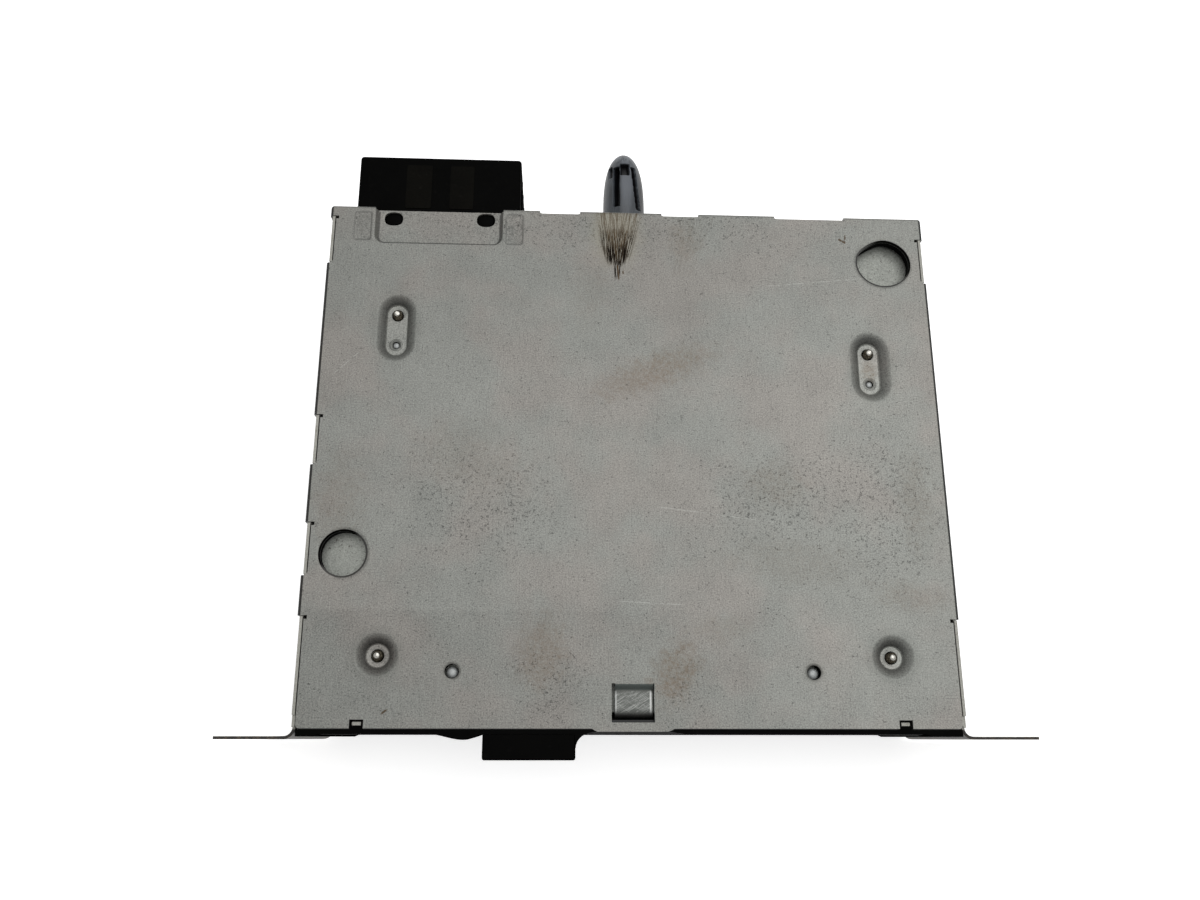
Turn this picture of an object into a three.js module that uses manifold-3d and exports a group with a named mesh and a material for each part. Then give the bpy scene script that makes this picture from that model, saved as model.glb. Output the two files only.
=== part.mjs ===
import * as THREE from 'three';
import { mergeVertices } from 'three/addons/utils/BufferGeometryUtils.js';
import Module from 'manifold-3d';

// A slot-loading car CD player in its sheet steel casing, lying as it is built in, cover up.
// Millimetres. X runs across, Y from front to rear, Z up. While the pieces are made, Y is
// counted from the cover's front edge and Z from the underside, and the group is moved at
// the end so that the middle of the underside is the origin.

// Casing
const bodyWidth = 178;
const bodyDepth = 150;
const bodyHeight = 52;
const sheet = 0.8;
const gap = 0.3;
const overrun = 1;
const upperSkirt = 14;
const lowerSkirt = 10;
const rearSkirt = 7;
const tabRoom = 2.2;

// Mounting ears at the front of the side walls
const earReach = 20;
const earSet = 1.9;
const earBend = 2.2;
const earTrim = 2;
const earHoleRadius = 2.75;
const earHoleInset = 11;

// Pressed recesses, holes and tabs of the cover
const recessDepth = 2.5;
const ovalTopHalf = 5.9;
const ovalFloorHalf = 3.3;
const ovalStretch = 4.9;
const roundTopRadius = 5.7;
const roundFloorRadius = 3.35;
const locatorRadius = 1.2;
const leftPortRadius = 6.3;
const rightPortRadius = 7.75;
const sightHoleRadius = 1.85;
const joggle = 1.7;
const harnessTabLength = 11.5;
const catchHoleHalf = 2.7;
const catchHoleReach = 2.2;
const latchLength = 9.9;
const latchWidth = 11.2;
const latchDip = 1.5;
const tongueWidth = 20.4;
const tongueReach = 0.8;
const notchWidth = 3.6;
const notchDepth = 2.2;

// Front bezel, felts and front connector
const bezelReach = 1.5;
const bezelBack = 2.2;
const slotClearance = 2;
const slotHeight = 5;
const feltThickness = 0.8;
const feltWidth = 4;
const feltLip = 0.3;
const footReach = 0.5;
const footWidth = 6.3;
const lobePlace = -43.8;
const lobeRise = 9.2;
const lobeFall = 4.2;
const lobeReach = 1.4;
const frontPlugWidth = 24.1;
const frontPlugHeight = 9.4;
const frontPlugReach = 8;
const frontPlugWall = 1.1;
const frontPlugPlace = 27.2;
const frontPinCount = 12;
const pinThickness = 0.6;
const pinCarrier = 1;
const frontPinLength = 2.8;

// Rear harness connector
const harnessWidth = 49;
const harnessReach = 19.3;
const harnessRoot = 13;
const harnessWall = 1.8;
const harnessPlace = 57.4;
const harnessPinLength = 9;
const bladeWidth = 1.6;
const bladeRows = 4;
const bladeColumns = 8;

// Locating peg at the rear
const pegRadius = 6.75;
const pegLength = 36;
const pegStraight = 14;
const pegHeight = 26;
const pegTipRadius = 1.4;
const pegStud = 2;
const pegStudLength = 6;
const pegSlotWidth = 1.6;
const pegSlotDepth = 4;
const pegSlotLength = 16;
const nutAcross = 7;
const nutHeight = 3.2;

// Main board and what stands on it
const boardTop = 9.6;
const boardThickness = 1.6;
const boardInset = 3;
const boardFront = 6;
const boardTabReach = 8;
const boardTabWidth = 9;
const boardScrewRadius = 1.4;
const boardScrewLength = 5;
const screwHeadRadius = 2.75;
const screwHeadHeight = 1.6;
const chipSize = 18;
const chipHeight = 1.6;
const chipLegReach = 1.2;
const bigCapRadius = 5.5;
const bigCapHeight = 17;
const capGroove = 0.5;
const socketWidth = 16;
const socketDepth = 4;
const socketHeight = 3;
const ribbonWidth = 12;
const ribbonThickness = 0.3;
const sinkWidth = 48;
const sinkDepth = 7;
const sinkHeight = 32;
const finCount = 7;
const finDepth = 3.5;
const ampWidth = 20;
const ampHeight = 14;
const ampThickness = 3.6;
const clipThickness = 0.8;
const clipWidth = 6;

// Mechanism frame under the cover, and its tray
const portSightDepth = 4.5;
const plateThickness = 1;
const padRadius = 4;
const edgeRoom = 2.4;
const trayTop = 16.5;
const trayFront = 12;
const trayRear = 128;
const cheekLeft = 76;
const cheekRight = 80;
const mechScrewRadius = 1.4;
const mechScrewTip = 2;

// Disc, turntable and its motor
const discRadius = 60;
const discPlane = 36;
const discThickness = 1.2;
const spindlePlace = 72;
const tableRadius = 14;
const tableThickness = 2;
const hubRadius = 7.3;
const hubHeight = 2.2;
const spindleRadius = 1;
const motorRadius = 12;
const motorDepth = 8;
const motorCollar = 4;

// Floating deck on its dampers
const deckTop = 31;
const deckFloat = 1;
const deckFront = 36;
const deckRear = 116;
const deckLeft = 71.5;
const deckRight = 58;
const deckTailHalf = 27;
const damperRadius = 5.5;
const damperNeck = 3.6;
const damperPin = 1;
const damperInset = 6;

// Pickup sled, its rods and its lead screw
const rodRadius = 1.5;
const rodSpread = 22;
const rodDrop = 3;
const sledRest = 24;
const sledTravel = 34;
const sledHalf = 9;
const bushHalf = 11;
const sledThickness = 4;
const windowHalf = 12;
const towerHalf = 10;
const towerTop = 33.2;
const holderHalf = 5;
const holderRoom = 0.6;
const holderHeight = 2.2;
const lensRadius = 2.4;
const lensRise = 0.7;
const focusTravel = 0.6;
const screwLead = 4;
const screwCrest = 1.5;
const screwRoot = 0.9;
const screwOffset = 9;
const screwDrop = 5.5;
const sledMotorRadius = 5.2;
const sledMotorLength = 18;

// Clamp arm and clamper
const clampHinge = 136;
const clampDrop = 2.2;
const armLevel = 42.3;
const armThickness = 1.2;
const armHalf = 20;
const armNose = 12;
const armPinRadius = 1;
const armPinDrop = 2;
const clamperRadius = 13;
const clamperThickness = 2;
const clamperNeck = 6;
const clamperCap = 8.5;
const clamperCapThickness = 1;
const clamperRecess = 1.5;
const followerPlace = 98;
const followerWidth = 6;

// Cam slide at the left cheek
const camThickness = 1;
const camTravel = 8;
const camTop = 44.5;
const camPin = 1;

// Loading roller, its arm and its gears
const rollerPlace = 21;
const rollerRadius = 4.5;
const rollerWaist = 3.9;
const rollerHalf = 56;
const shaftRadius = 1.5;
const rollerArmLength = 26;
const rollerArmAngle = 27;
const rollerDrop = 3;
const rollerPlateLeft = 72.5;
const rollerPlateRight = 62;
const rollerPlateThickness = 1;
const rollerBarWidth = 5;
const pivotLug = 3;
const gearModule = 0.7;
const gearTeeth = 14;
const pinionTeeth = 12;
const gearWidth = 4;
const gearStart = 65.8;
const addendumShare = 0.8;
const dedendumShare = 1.15;
const toothShare = 0.36;
const wheelModule = 0.6;
const wheelTeeth = 24;
const wheelWidth = 3;
const wheelSlope = 50;
const gearStud = 1.2;
const wormCrest = 3;
const wormRoot = 2;
const loadMotorRadius = 6.5;
const loadMotorLength = 21;
const loadMotorShaft = 1;

// Disc guide and feeler levers
const guideHalf = 41;
const guideDepth = 16;
const guideClearance = 1.4;
const guideRibs = 5;
const leverPivotPlace = 44;
const leverPivotSpread = 44;
const leverPinPlace = 8;
const leverPinSpread = 50;
const leverPinRadius = 1.2;
const leverHalf = 3;
const leverThickness = 1.2;
const leverStud = 1.5;
const leverPinFoot = 34.3;

// Places along the cover as shares of its depth and width
const leftSkirtShares = [[0.192, 0.263], [0.36, 0.467], [0.564, 0.875], [0.977, 0.999]];
const rightSkirtShares = [[0.191, 0.856], [0.953, 0.999]];
const rearSkirtShares = [[0.003, 0.068], [0.416, 0.555], [0.614, 0.742], [0.868, 0.997]];
const lowerSkirtShares = [[0.03, 0.36], [0.42, 0.72], [0.78, 0.98]];
const ovalLeftShare = { x: -0.3803, y: 0.741 };
const ovalRightShare = { x: 0.3933, y: 0.677 };
const roundLeftShare = { x: -0.3798, y: 0.1233 };
const roundRightShare = { x: 0.3933, y: 0.1233 };
const leftPortShare = { x: -0.4376, y: 0.3027 };
const rightPortShare = { x: 0.4281, y: 0.898 };
const sightShares = [{ x: -0.268, y: 0.0963 }, { x: 0.2708, y: 0.096 }];
const catchShares = [{ x: -0.3961, y: 0.978 }, { x: -0.2421, y: 0.9793 }];
const notchXShares = [-0.4025, 0.4042];
const tongueXShare = -0.0011;
const boardTabShares = [0.15, 0.74];
const sinkXShare = 0.33;
const capShares = [{ x: -0.115, y: 0.945 }, { x: 0.13, y: 0.93 }];
const chipShare = { x: -0.12, y: 0.3 };
const socketShare = { x: 0.24, y: 0.89 };
const lowerVentShares = [0.3, 0.38, 0.46, 0.54, 0.62, 0.7];
const camStudShares = [0.22, 0.8];
const pegNoseShares = [0.25, 0.45, 0.62, 0.76, 0.87, 0.95, 0.985];

// Roundness, as numbers of sides
const fineSides = 24;
const roundSides = 14;
const smallSides = 8;
const bendSteps = 6;
const threadSides = 8;
const threadSteps = 4;

// Levels and places that follow from the sizes above
const halfWidth = bodyWidth / 2;
const wallOut = halfWidth - sheet;
const wallIn = wallOut - sheet;
const coverUnder = bodyHeight - sheet;
const rearOut = bodyDepth - sheet;
const rearIn = rearOut - sheet;
const recessFloor = bodyHeight - recessDepth;
const carrierTop = bodyHeight - portSightDepth;
const carrierUnder = carrierTop - plateThickness;
const trayUnder = trayTop - plateThickness;
const boardUnder = boardTop - boardThickness;
const discUnder = discPlane - discThickness / 2;
const discOver = discPlane + discThickness / 2;
const tableUnder = discUnder - tableThickness;
const deckUnder = deckTop - plateThickness;
const harnessTop = coverUnder - joggle - gap;
const slotHalf = discRadius + slotClearance;
const slotLow = discPlane - slotHeight / 2;
const slotHigh = discPlane + slotHeight / 2;
const overallFront = -frontPlugReach;
const overallRear = rearOut + pegLength;

const wasm = await Module();
wasm.setup();

const steel = { color: 0x93928a, roughness: 0.45, metalness: 0.85 };
const darkSteel = { color: 0x6f706c, roughness: 0.4, metalness: 0.9 };
const aluminium = { color: 0xb4b6b8, roughness: 0.4, metalness: 0.9 };
const blackPlastic = { color: 0x101011, roughness: 0.5, metalness: 0 };
const greyPlastic = { color: 0x5a5f69, roughness: 0.55, metalness: 0 };
const whitePlastic = { color: 0xd6d3c8, roughness: 0.5, metalness: 0 };
const boardGreen = { color: 0x1f4a2c, roughness: 0.55, metalness: 0 };
const brassTone = { color: 0xb08d4a, roughness: 0.35, metalness: 0.9 };
const rubberBlack = { color: 0x1b1b1c, roughness: 0.85, metalness: 0 };
const feltBlack = { color: 0x161616, roughness: 1, metalness: 0 };
const lensBlue = { color: 0x8fa6c4, roughness: 0.08, metalness: 0 };

const player = new THREE.Group();

// A closed geometry as a solid, with its shared corners merged and flat slivers left out
function solid(geometry) {
  const bare = geometry.clone();
  bare.deleteAttribute('normal');
  bare.deleteAttribute('uv');
  const merged = mergeVertices(bare);
  const corners = merged.index.array;
  const kept = [];
  for (let i = 0; i < corners.length; i += 3) {
    const [a, b, c] = [corners[i], corners[i + 1], corners[i + 2]];
    if (a !== b && b !== c && c !== a) kept.push(a, b, c);
  }
  return new wasm.Manifold(new wasm.Mesh({
    numProp: 3,
    vertProperties: new Float32Array(merged.attributes.position.array),
    triVerts: new Uint32Array(kept),
  }));
}

function join(...pieces) {
  return pieces.reduce((whole, piece) => whole.add(piece));
}

function cut(whole, ...tools) {
  return tools.reduce((rest, tool) => rest.subtract(tool), whole);
}

function add(name, shape, finish) {
  const made = shape.getMesh();
  const geometry = new THREE.BufferGeometry();
  geometry.setAttribute('position', new THREE.BufferAttribute(new Float32Array(made.vertProperties), 3));
  geometry.setIndex(new THREE.BufferAttribute(new Uint32Array(made.triVerts), 1));
  geometry.computeVertexNormals();
  const mesh = new THREE.Mesh(geometry, new THREE.MeshStandardMaterial(finish));
  mesh.name = name;
  player.add(mesh);
}

// A box between two values on each axis
function block([x0, x1], [y0, y1], [z0, z1]) {
  const geometry = new THREE.BoxGeometry(x1 - x0, y1 - y0, z1 - z0);
  geometry.translate((x0 + x1) / 2, (y0 + y1) / 2, (z0 + z1) / 2);
  return solid(geometry);
}

// An outline drawn across an axis and drawn out along it
function slab(axis, outline, [from, to], holes = []) {
  const shape = new THREE.Shape(outline.map(([u, v]) => new THREE.Vector2(u, v)));
  for (const hole of holes) shape.holes.push(new THREE.Path(hole.map(([u, v]) => new THREE.Vector2(u, v))));
  const geometry = new THREE.ExtrudeGeometry(shape, { depth: to - from, bevelEnabled: false });
  const across = new THREE.Vector3(1, 0, 0);
  const deep = new THREE.Vector3(0, 1, 0);
  const up = new THREE.Vector3(0, 0, 1);
  const turn = new THREE.Matrix4();
  if (axis === 'x') turn.makeBasis(deep, up, across).setPosition(from, 0, 0);
  if (axis === 'y') turn.makeBasis(across, up, deep.negate()).setPosition(0, to, 0);
  if (axis === 'z') turn.setPosition(0, 0, from);
  return solid(geometry.applyMatrix4(turn));
}

function circle([u, v], radius, sides = roundSides) {
  return oblong([u, v], radius, 0, sides);
}

// A circle stretched along its second axis, or a plain circle where the stretch is zero
function oblong([u, v], radius, stretch, sides = roundSides) {
  const points = [];
  for (let i = 0; i < sides; i += 1) {
    const angle = (i + 1 / 2) / sides * 2 * Math.PI;
    const side = Math.sin(angle) > 0 ? 1 : -1;
    points.push([u + radius * Math.cos(angle), v + radius * Math.sin(angle) + side * stretch]);
  }
  return points;
}

function rectangle([u0, u1], [v0, v1]) {
  return [[u0, v0], [u1, v0], [u1, v1], [u0, v1]];
}

// The outline round two circles, such as a link's two ends or a slot
function strap(start, startRadius, end, endRadius, steps = smallSides / 2) {
  const heading = Math.atan2(end[1] - start[1], end[0] - start[0]);
  const points = [];
  for (const [[u, v], radius, from] of [[start, startRadius, 1 / 2], [end, endRadius, -1 / 2]]) {
    for (let i = 0; i <= steps; i += 1) {
      const angle = heading + (from + i / steps) * Math.PI;
      points.push([u + radius * Math.cos(angle), v + radius * Math.sin(angle)]);
    }
  }
  return points;
}

// A round bar along an axis, centred on the other two coordinates in their order
function rod(axis, centre, radius, span, sides = roundSides) {
  return slab(axis, circle(centre, radius, sides), span);
}

// Two outlines with as many points, joined by a wall and closed at both levels
function taper(low, high, [z0, z1]) {
  const count = low.length;
  const places = [...low.map(([x, y]) => [x, y, z0]), ...high.map(([x, y]) => [x, y, z1])].flat();
  const index = [];
  for (let i = 0; i < count; i += 1) {
    const next = (i + 1) % count;
    index.push(i, next, count + next, i, count + next, count + i);
    if (i > 1) index.push(0, i, i - 1, count, count + i - 1, count + i);
  }
  const geometry = new THREE.BufferGeometry();
  geometry.setAttribute('position', new THREE.Float32BufferAttribute(places, 3));
  geometry.setIndex(index);
  return solid(geometry);
}

// A profile of radius and height pairs, turned about a line along an axis
function turned(axis, centre, profile, sides = fineSides) {
  const geometry = new THREE.LatheGeometry(profile.map(([r, h]) => new THREE.Vector2(r, h)), sides);
  if (axis === 'z') geometry.rotateX(Math.PI / 2).translate(centre[0], centre[1], 0);
  if (axis === 'y') geometry.translate(centre[0], 0, centre[1]);
  if (axis === 'x') geometry.rotateZ(-Math.PI / 2).translate(0, centre[0], centre[1]);
  const made = solid(geometry);
  return made.volume() < 0 ? solid(flipped(geometry)) : made;
}

function flipped(geometry) {
  const index = geometry.index.array;
  for (let i = 0; i < index.length; i += 3) [index[i], index[i + 1]] = [index[i + 1], index[i]];
  return geometry;
}

// A ring of straight-sided teeth, with the first tooth at the given angle
function gearOutline([u, v], teeth, module, firstAngle) {
  const pitch = teeth * module / 2;
  const tip = pitch + module * addendumShare;
  const root = pitch - module * dedendumShare;
  const step = 2 * Math.PI / teeth;
  const half = step * toothShare / 2;
  const foot = half * pitch / root + step * (1 - toothShare) / 8;
  const crown = half * 3 / 5;
  const points = [];
  for (let i = 0; i < teeth; i += 1) {
    const at = firstAngle + i * step;
    const corners = [[root, -foot], [tip, -crown], [tip, crown], [root, foot]];
    for (const [r, turn] of corners) points.push([u + r * Math.cos(at + turn), v + r * Math.sin(at + turn)]);
  }
  return points;
}

// A single helical ridge wound round a bar, with the bar's length split into even rings
function threaded(axis, centre, root, crest, lead, [from, to], start) {
  const rings = Math.max(1, Math.round((to - from) / lead * threadSteps));
  const places = [];
  const index = [];
  for (let i = 0; i <= rings; i += 1) {
    const along = from + (to - from) * i / rings;
    for (let j = 0; j < threadSides; j += 1) {
      const share = (along - start) / lead - j / threadSides;
      const ridge = Math.abs(share - Math.floor(share) - 1 / 2) * 4 - 1;
      const radius = root + (crest - root) * Math.min(1, Math.max(0, ridge));
      const angle = j / threadSides * 2 * Math.PI;
      places.push(radius * Math.cos(angle), radius * Math.sin(angle), along);
    }
  }
  for (let i = 0; i < rings; i += 1) {
    for (let j = 0; j < threadSides; j += 1) {
      const next = (j + 1) % threadSides;
      const [a, b] = [i * threadSides + j, i * threadSides + next];
      index.push(a, b, b + threadSides, a, b + threadSides, a + threadSides);
    }
  }
  const first = places.length / 3;
  places.push(0, 0, from, 0, 0, to);
  for (let j = 0; j < threadSides; j += 1) {
    const next = (j + 1) % threadSides;
    index.push(first, next, j, first + 1, rings * threadSides + j, rings * threadSides + next);
  }
  const geometry = new THREE.BufferGeometry();
  geometry.setAttribute('position', new THREE.Float32BufferAttribute(places, 3));
  geometry.setIndex(index);
  if (axis === 'x') {
    const turn = new THREE.Matrix4();
    turn.makeBasis(new THREE.Vector3(0, 1, 0), new THREE.Vector3(0, 0, 1), new THREE.Vector3(1, 0, 0));
    geometry.applyMatrix4(turn.setPosition(0, centre[0], centre[1]));
  }
  if (axis === 'y') {
    const turn = new THREE.Matrix4();
    turn.makeBasis(new THREE.Vector3(0, 0, 1), new THREE.Vector3(1, 0, 0), new THREE.Vector3(0, 1, 0));
    geometry.applyMatrix4(turn.setPosition(centre[0], 0, centre[1]));
  }
  return solid(geometry);
}

function onCover(share) {
  return [share.x * bodyWidth, share.y * bodyDepth];
}

function deepSpan([from, to]) {
  return [from * bodyDepth, to * bodyDepth];
}

function wideSpan([from, to]) {
  return [(from - 1 / 2) * bodyWidth, (to - 1 / 2) * bodyWidth];
}

// The stretches between the skirts, where the side wall's own tabs come up flush
function tabSpans(shares) {
  const spans = [];
  let from = tabRoom + sheet;
  for (const share of shares) {
    const [low, high] = deepSpan(share);
    if (low - from > 2 * tabRoom) spans.push([from, low]);
    from = high;
  }
  return spans;
}

const harnessSpan = [-harnessPlace - harnessWidth / 2, -harnessPlace + harnessWidth / 2];
const harnessTabSpan = [harnessSpan[0] + 2 * catchHoleHalf, harnessSpan[1] - 2 * catchHoleHalf];
const mechScrews = [
  { name: 'mech_screw_front_left', place: onCover(roundLeftShare), slotted: false },
  { name: 'mech_screw_front_right', place: onCover(roundRightShare), slotted: false },
  { name: 'mech_screw_rear_left', place: onCover(ovalLeftShare), slotted: true },
  { name: 'mech_screw_rear_right', place: onCover(ovalRightShare), slotted: true },
];

// The screw of an oval recess stands behind its middle, and a locating hole before it
function screwPlace({ place: [x, y], slotted }) {
  return [x, y + (slotted ? ovalStretch - locatorRadius / 4 : 0)];
}

const frontPlugSpan = [-frontPlugPlace - frontPlugWidth / 2, -frontPlugPlace + frontPlugWidth / 2];
const tongueMiddle = tongueXShare * bodyWidth;
const tongueSpan = [tongueMiddle - tongueWidth / 2, tongueMiddle + tongueWidth / 2];
const latchMiddle = tongueMiddle;

// Top cover: pressed sheet with skirts, recesses, ports, latch and harness tab
function topCover() {
  const level = [coverUnder, bodyHeight];
  let cover = block([-halfWidth, halfWidth], [0, rearOut], level);
  for (const [side, shares] of [[-1, leftSkirtShares], [1, rightSkirtShares]]) {
    for (const [from, to] of tabSpans(shares)) {
      const across = [side * (wallIn - gap), side * (halfWidth + overrun)].sort((a, b) => a - b);
      cover = cut(cover, block(across, [from, to], [coverUnder - overrun, bodyHeight + overrun]));
    }
    const corner = [side * (wallIn - gap), side * (halfWidth + overrun)].sort((a, b) => a - b);
    cover = cut(cover, block(corner, [-overrun, tabRoom + sheet],
      [coverUnder - overrun, bodyHeight + overrun]));
    for (const share of shares) {
      const across = [side * wallOut, side * halfWidth].sort((a, b) => a - b);
      cover = join(cover, block(across, deepSpan(share), [bodyHeight - upperSkirt, bodyHeight]));
    }
  }
  for (const share of rearSkirtShares) {
    const depth = share === rearSkirtShares[0] ? sheet + joggle : rearSkirt;
    cover = join(cover, block(wideSpan(share), [rearOut, bodyDepth], [bodyHeight - depth, bodyHeight]));
  }
  const tongue = block(tongueSpan, [-tongueReach, sheet], level);
  cover = join(cover, tongue);
  for (const share of notchXShares) {
    const middle = share * bodyWidth;
    const across = [middle - notchWidth / 2, middle + notchWidth / 2];
    cover = cut(cover, block(across, [-overrun, notchDepth], [coverUnder - overrun, bodyHeight + overrun]));
  }
  for (const screw of mechScrews) {
    const stretch = screw.slotted ? ovalStretch : 0;
    const topHalf = screw.slotted ? ovalTopHalf : roundTopRadius;
    const floorHalf = screw.slotted ? ovalFloorHalf : roundFloorRadius;
    const sides = fineSides;
    const wall = (topHalf - floorHalf) / recessDepth * sheet;
    const outer = taper(
      oblong(screw.place, floorHalf + wall / 2, stretch, sides),
      oblong(screw.place, topHalf + wall, stretch, sides),
      [recessFloor - sheet, bodyHeight],
    );
    const inner = taper(
      oblong(screw.place, floorHalf, stretch, sides),
      oblong(screw.place, topHalf, stretch, sides),
      [recessFloor, bodyHeight],
    );
    const mouth = slab('z', oblong(screw.place, topHalf, stretch, sides), [bodyHeight, bodyHeight + overrun]);
    cover = cut(join(cover, outer), inner, mouth);
    const through = [recessFloor - sheet - overrun, bodyHeight];
    cover = cut(cover, rod('z', screwPlace(screw), mechScrewRadius + gap, through));
    if (screw.slotted) {
      const [x, y] = screw.place;
      cover = cut(cover, rod('z', [x, y - ovalStretch + locatorRadius / 2], locatorRadius, through,
        smallSides));
    }
  }
  const through = [coverUnder - overrun, bodyHeight + overrun];
  cover = cut(cover, rod('z', onCover(leftPortShare), leftPortRadius, through, fineSides));
  cover = cut(cover, rod('z', onCover(rightPortShare), rightPortRadius, through, fineSides));
  for (const share of sightShares) cover = cut(cover, rod('z', onCover(share), sightHoleRadius, through));
  cover = join(cut(cover, harnessTabRoom()), harnessTab());
  cover = join(cut(cover, latchWindow()), latchTab());
  return cover;
}

function harnessTabRoom() {
  return block(harnessTabSpan, [rearOut - harnessTabLength, bodyDepth + overrun],
    [coverUnder - overrun, bodyHeight + overrun]);
}

// The tab over the harness connector lies one joggle lower and catches the housing's bumps
function harnessTab() {
  const front = rearOut - harnessTabLength;
  const low = coverUnder - joggle;
  const step = block(harnessTabSpan, [front, front + sheet], [low, bodyHeight]);
  let plate = block(harnessTabSpan, [front, rearOut], [low, low + sheet]);
  for (const share of catchShares) {
    const [x, y] = onCover(share);
    const outline = oblong([x, y], catchHoleReach, 0);
    plate = cut(plate, slab('z', outline, [low - overrun, low + sheet + overrun]));
  }
  return join(step, plate);
}

function latchWindow() {
  const across = [latchMiddle - latchWidth / 2, latchMiddle + latchWidth / 2];
  return block(across, [2 * sheet, 2 * sheet + latchLength], [coverUnder - overrun, bodyHeight + overrun]);
}

// The lanced latch hangs from the window's rear edge and dips towards the front
function latchTab() {
  const rear = 2 * sheet + latchLength;
  const front = 2 * sheet + sheet * 2;
  const half = latchWidth / 2 - gap;
  const top = [[rear + sheet, bodyHeight], [rear, bodyHeight], [rear - latchLength / 4, bodyHeight - latchDip],
    [front, bodyHeight - latchDip]];
  const under = top.map(([y, z]) => [y, z - sheet]).reverse();
  return slab('x', [...top, ...under], [latchMiddle - half, latchMiddle + half]);
}

add('top_cover', topCover(), steel);

// Bottom cover: plate with upturned skirts outside the walls and a row of vents
function bottomCover() {
  const vents = lowerVentShares.map((share) => {
    const y = share * bodyDepth;
    return rectangle([-bodyWidth / 8, bodyWidth / 8], [y - sheet, y + sheet]);
  });
  let plate = slab('z', rectangle([-halfWidth, halfWidth], [0, bodyDepth]), [0, sheet], vents);
  for (const side of [-1, 1]) {
    const across = [side * wallOut, side * halfWidth].sort((a, b) => a - b);
    for (const share of lowerSkirtShares) {
      plate = join(plate, block(across, deepSpan(share), [0, lowerSkirt]));
    }
  }
  const rearSpans = [wideSpan(rearSkirtShares[1]), wideSpan(rearSkirtShares[3])];
  for (const span of rearSpans) plate = join(plate, block(span, [rearOut, bodyDepth], [0, rearSkirt]));
  return plate;
}

add('bottom_cover', bottomCover(), steel);

const earRear = -earSet;
const earCentre = [wallOut + earBend, earRear + earBend];
const earTop = bodyHeight - earTrim;
const earHoleLevels = [earHoleInset + earTrim, bodyHeight - earHoleInset - earTrim];

// The bend between a side wall and its ear, as points from the wall to the ear
function earArc(radius) {
  return Array.from({ length: bendSteps + 1 }, (_, i) => {
    const angle = (1 + i / bendSteps / 2) * Math.PI;
    return [earCentre[0] + radius * Math.cos(angle), earCentre[1] + radius * Math.sin(angle)];
  });
}

// Chassis: one strip bent round the sides and the rear, with ears, board tabs and cover tabs
function chassisFrame() {
  const outside = [[wallOut, rearOut], ...earArc(earBend), [wallOut + earReach, earRear]];
  const inside = [[wallOut + earReach, earRear - sheet], ...earArc(earBend + sheet).reverse(),
    [wallIn, rearIn]];
  const right = [...outside, ...inside];
  const left = right.map(([x, y]) => [-x, y]).reverse();
  let made = slab('z', [...right, ...left], [sheet, coverUnder]);
  for (const side of [-1, 1]) {
    const shares = side < 0 ? leftSkirtShares : rightSkirtShares;
    const span = (low, high) => [side * low, side * high].sort((a, b) => a - b);
    const earZone = [earRear - 2 * earBend, earCentre[1]];
    const wholeEar = span(wallIn - overrun, wallOut + earReach + overrun);
    made = cut(made, block(wholeEar, earZone, [sheet - overrun, earTrim]),
      block(wholeEar, earZone, [earTop, bodyHeight]));
    for (const level of earHoleLevels) {
      const middle = side * (wallOut + earReach / 2 + earBend);
      made = cut(made, rod('y', [middle, level], earHoleRadius, [earRear - earBend, earRear + earBend]));
    }
    for (const [from, to] of tabSpans(shares)) {
      made = join(made, block(span(wallIn, wallOut), [from + gap, to - gap], [coverUnder - sheet, bodyHeight]));
    }
    for (const share of boardTabShares) {
      const y = share * bodyDepth;
      const tab = block(span(wallIn - boardTabReach, wallIn + sheet / 2),
        [y - boardTabWidth / 2, y + boardTabWidth / 2],
        [boardUnder - sheet, boardUnder]);
      const hole = rod('z', [side * (wallIn - boardTabReach / 2), y], boardScrewRadius + gap,
        [boardUnder - sheet - overrun, boardUnder + overrun]);
      made = join(made, cut(tab, hole));
    }
  }
  const cutOut = block([harnessSpan[0] - gap, harnessSpan[1] + gap], [rearIn - overrun, rearOut + overrun],
    [boardTop - gap, bodyHeight + overrun]);
  const pegHole = rod('y', [0, pegHeight], pegStud + gap, [rearIn - overrun, rearOut + overrun]);
  return cut(made, cutOut, pegHole);
}

add('chassis_frame', chassisFrame(), steel);

const bezelFront = -bezelReach;
const bezelHalf = wallIn - gap;
const feltSpan = [-slotHalf - feltWidth / 4, slotHalf + feltWidth / 4];

// Front bezel: a moulded plate with the disc slot, a lip before the cover and two end feet
function frontBezel() {
  const plate = block([-bezelHalf, bezelHalf], [bezelFront, bezelBack], [sheet + gap, coverUnder - gap]);
  const lipLevel = [coverUnder - gap, bodyHeight - gap];
  let made = join(plate, block([-bezelHalf, bezelHalf], [bezelFront, -gap], lipLevel));
  for (const side of [-1, 1]) {
    const across = [side * (bezelHalf - gap - footWidth), side * (bezelHalf - gap)].sort((a, b) => a - b);
    made = join(made, block(across, [bezelFront - footReach, bezelFront], [sheet + gap, bodyHeight - gap]));
  }
  const lobe = [[lobePlace - lobeRise, bezelFront], [lobePlace, bezelFront - lobeReach],
    [lobePlace + lobeFall, bezelFront]];
  made = join(made, slab('z', lobe, [slotHigh + feltWidth, bodyHeight - gap]));
  const tongueRoom = block([tongueSpan[0] - gap, tongueSpan[1] + gap], [bezelFront - overrun, bezelBack],
    [coverUnder - gap, bodyHeight + overrun]);
  const slot = block([-slotHalf, slotHalf], [bezelFront - overrun, bezelBack + overrun], [slotLow, slotHigh]);
  return cut(made, tongueRoom, slot);
}

add('front_bezel', frontBezel(), blackPlastic);

for (const [name, side, edge] of [['slot_felt_lower', -1, slotLow], ['slot_felt_upper', 1, slotHigh]]) {
  const inner = edge - side * feltLip;
  const level = [inner, inner + side * feltWidth].sort((a, b) => a - b);
  add(name, block(feltSpan, [bezelBack, bezelBack + feltThickness], level), feltBlack);
}

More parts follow.
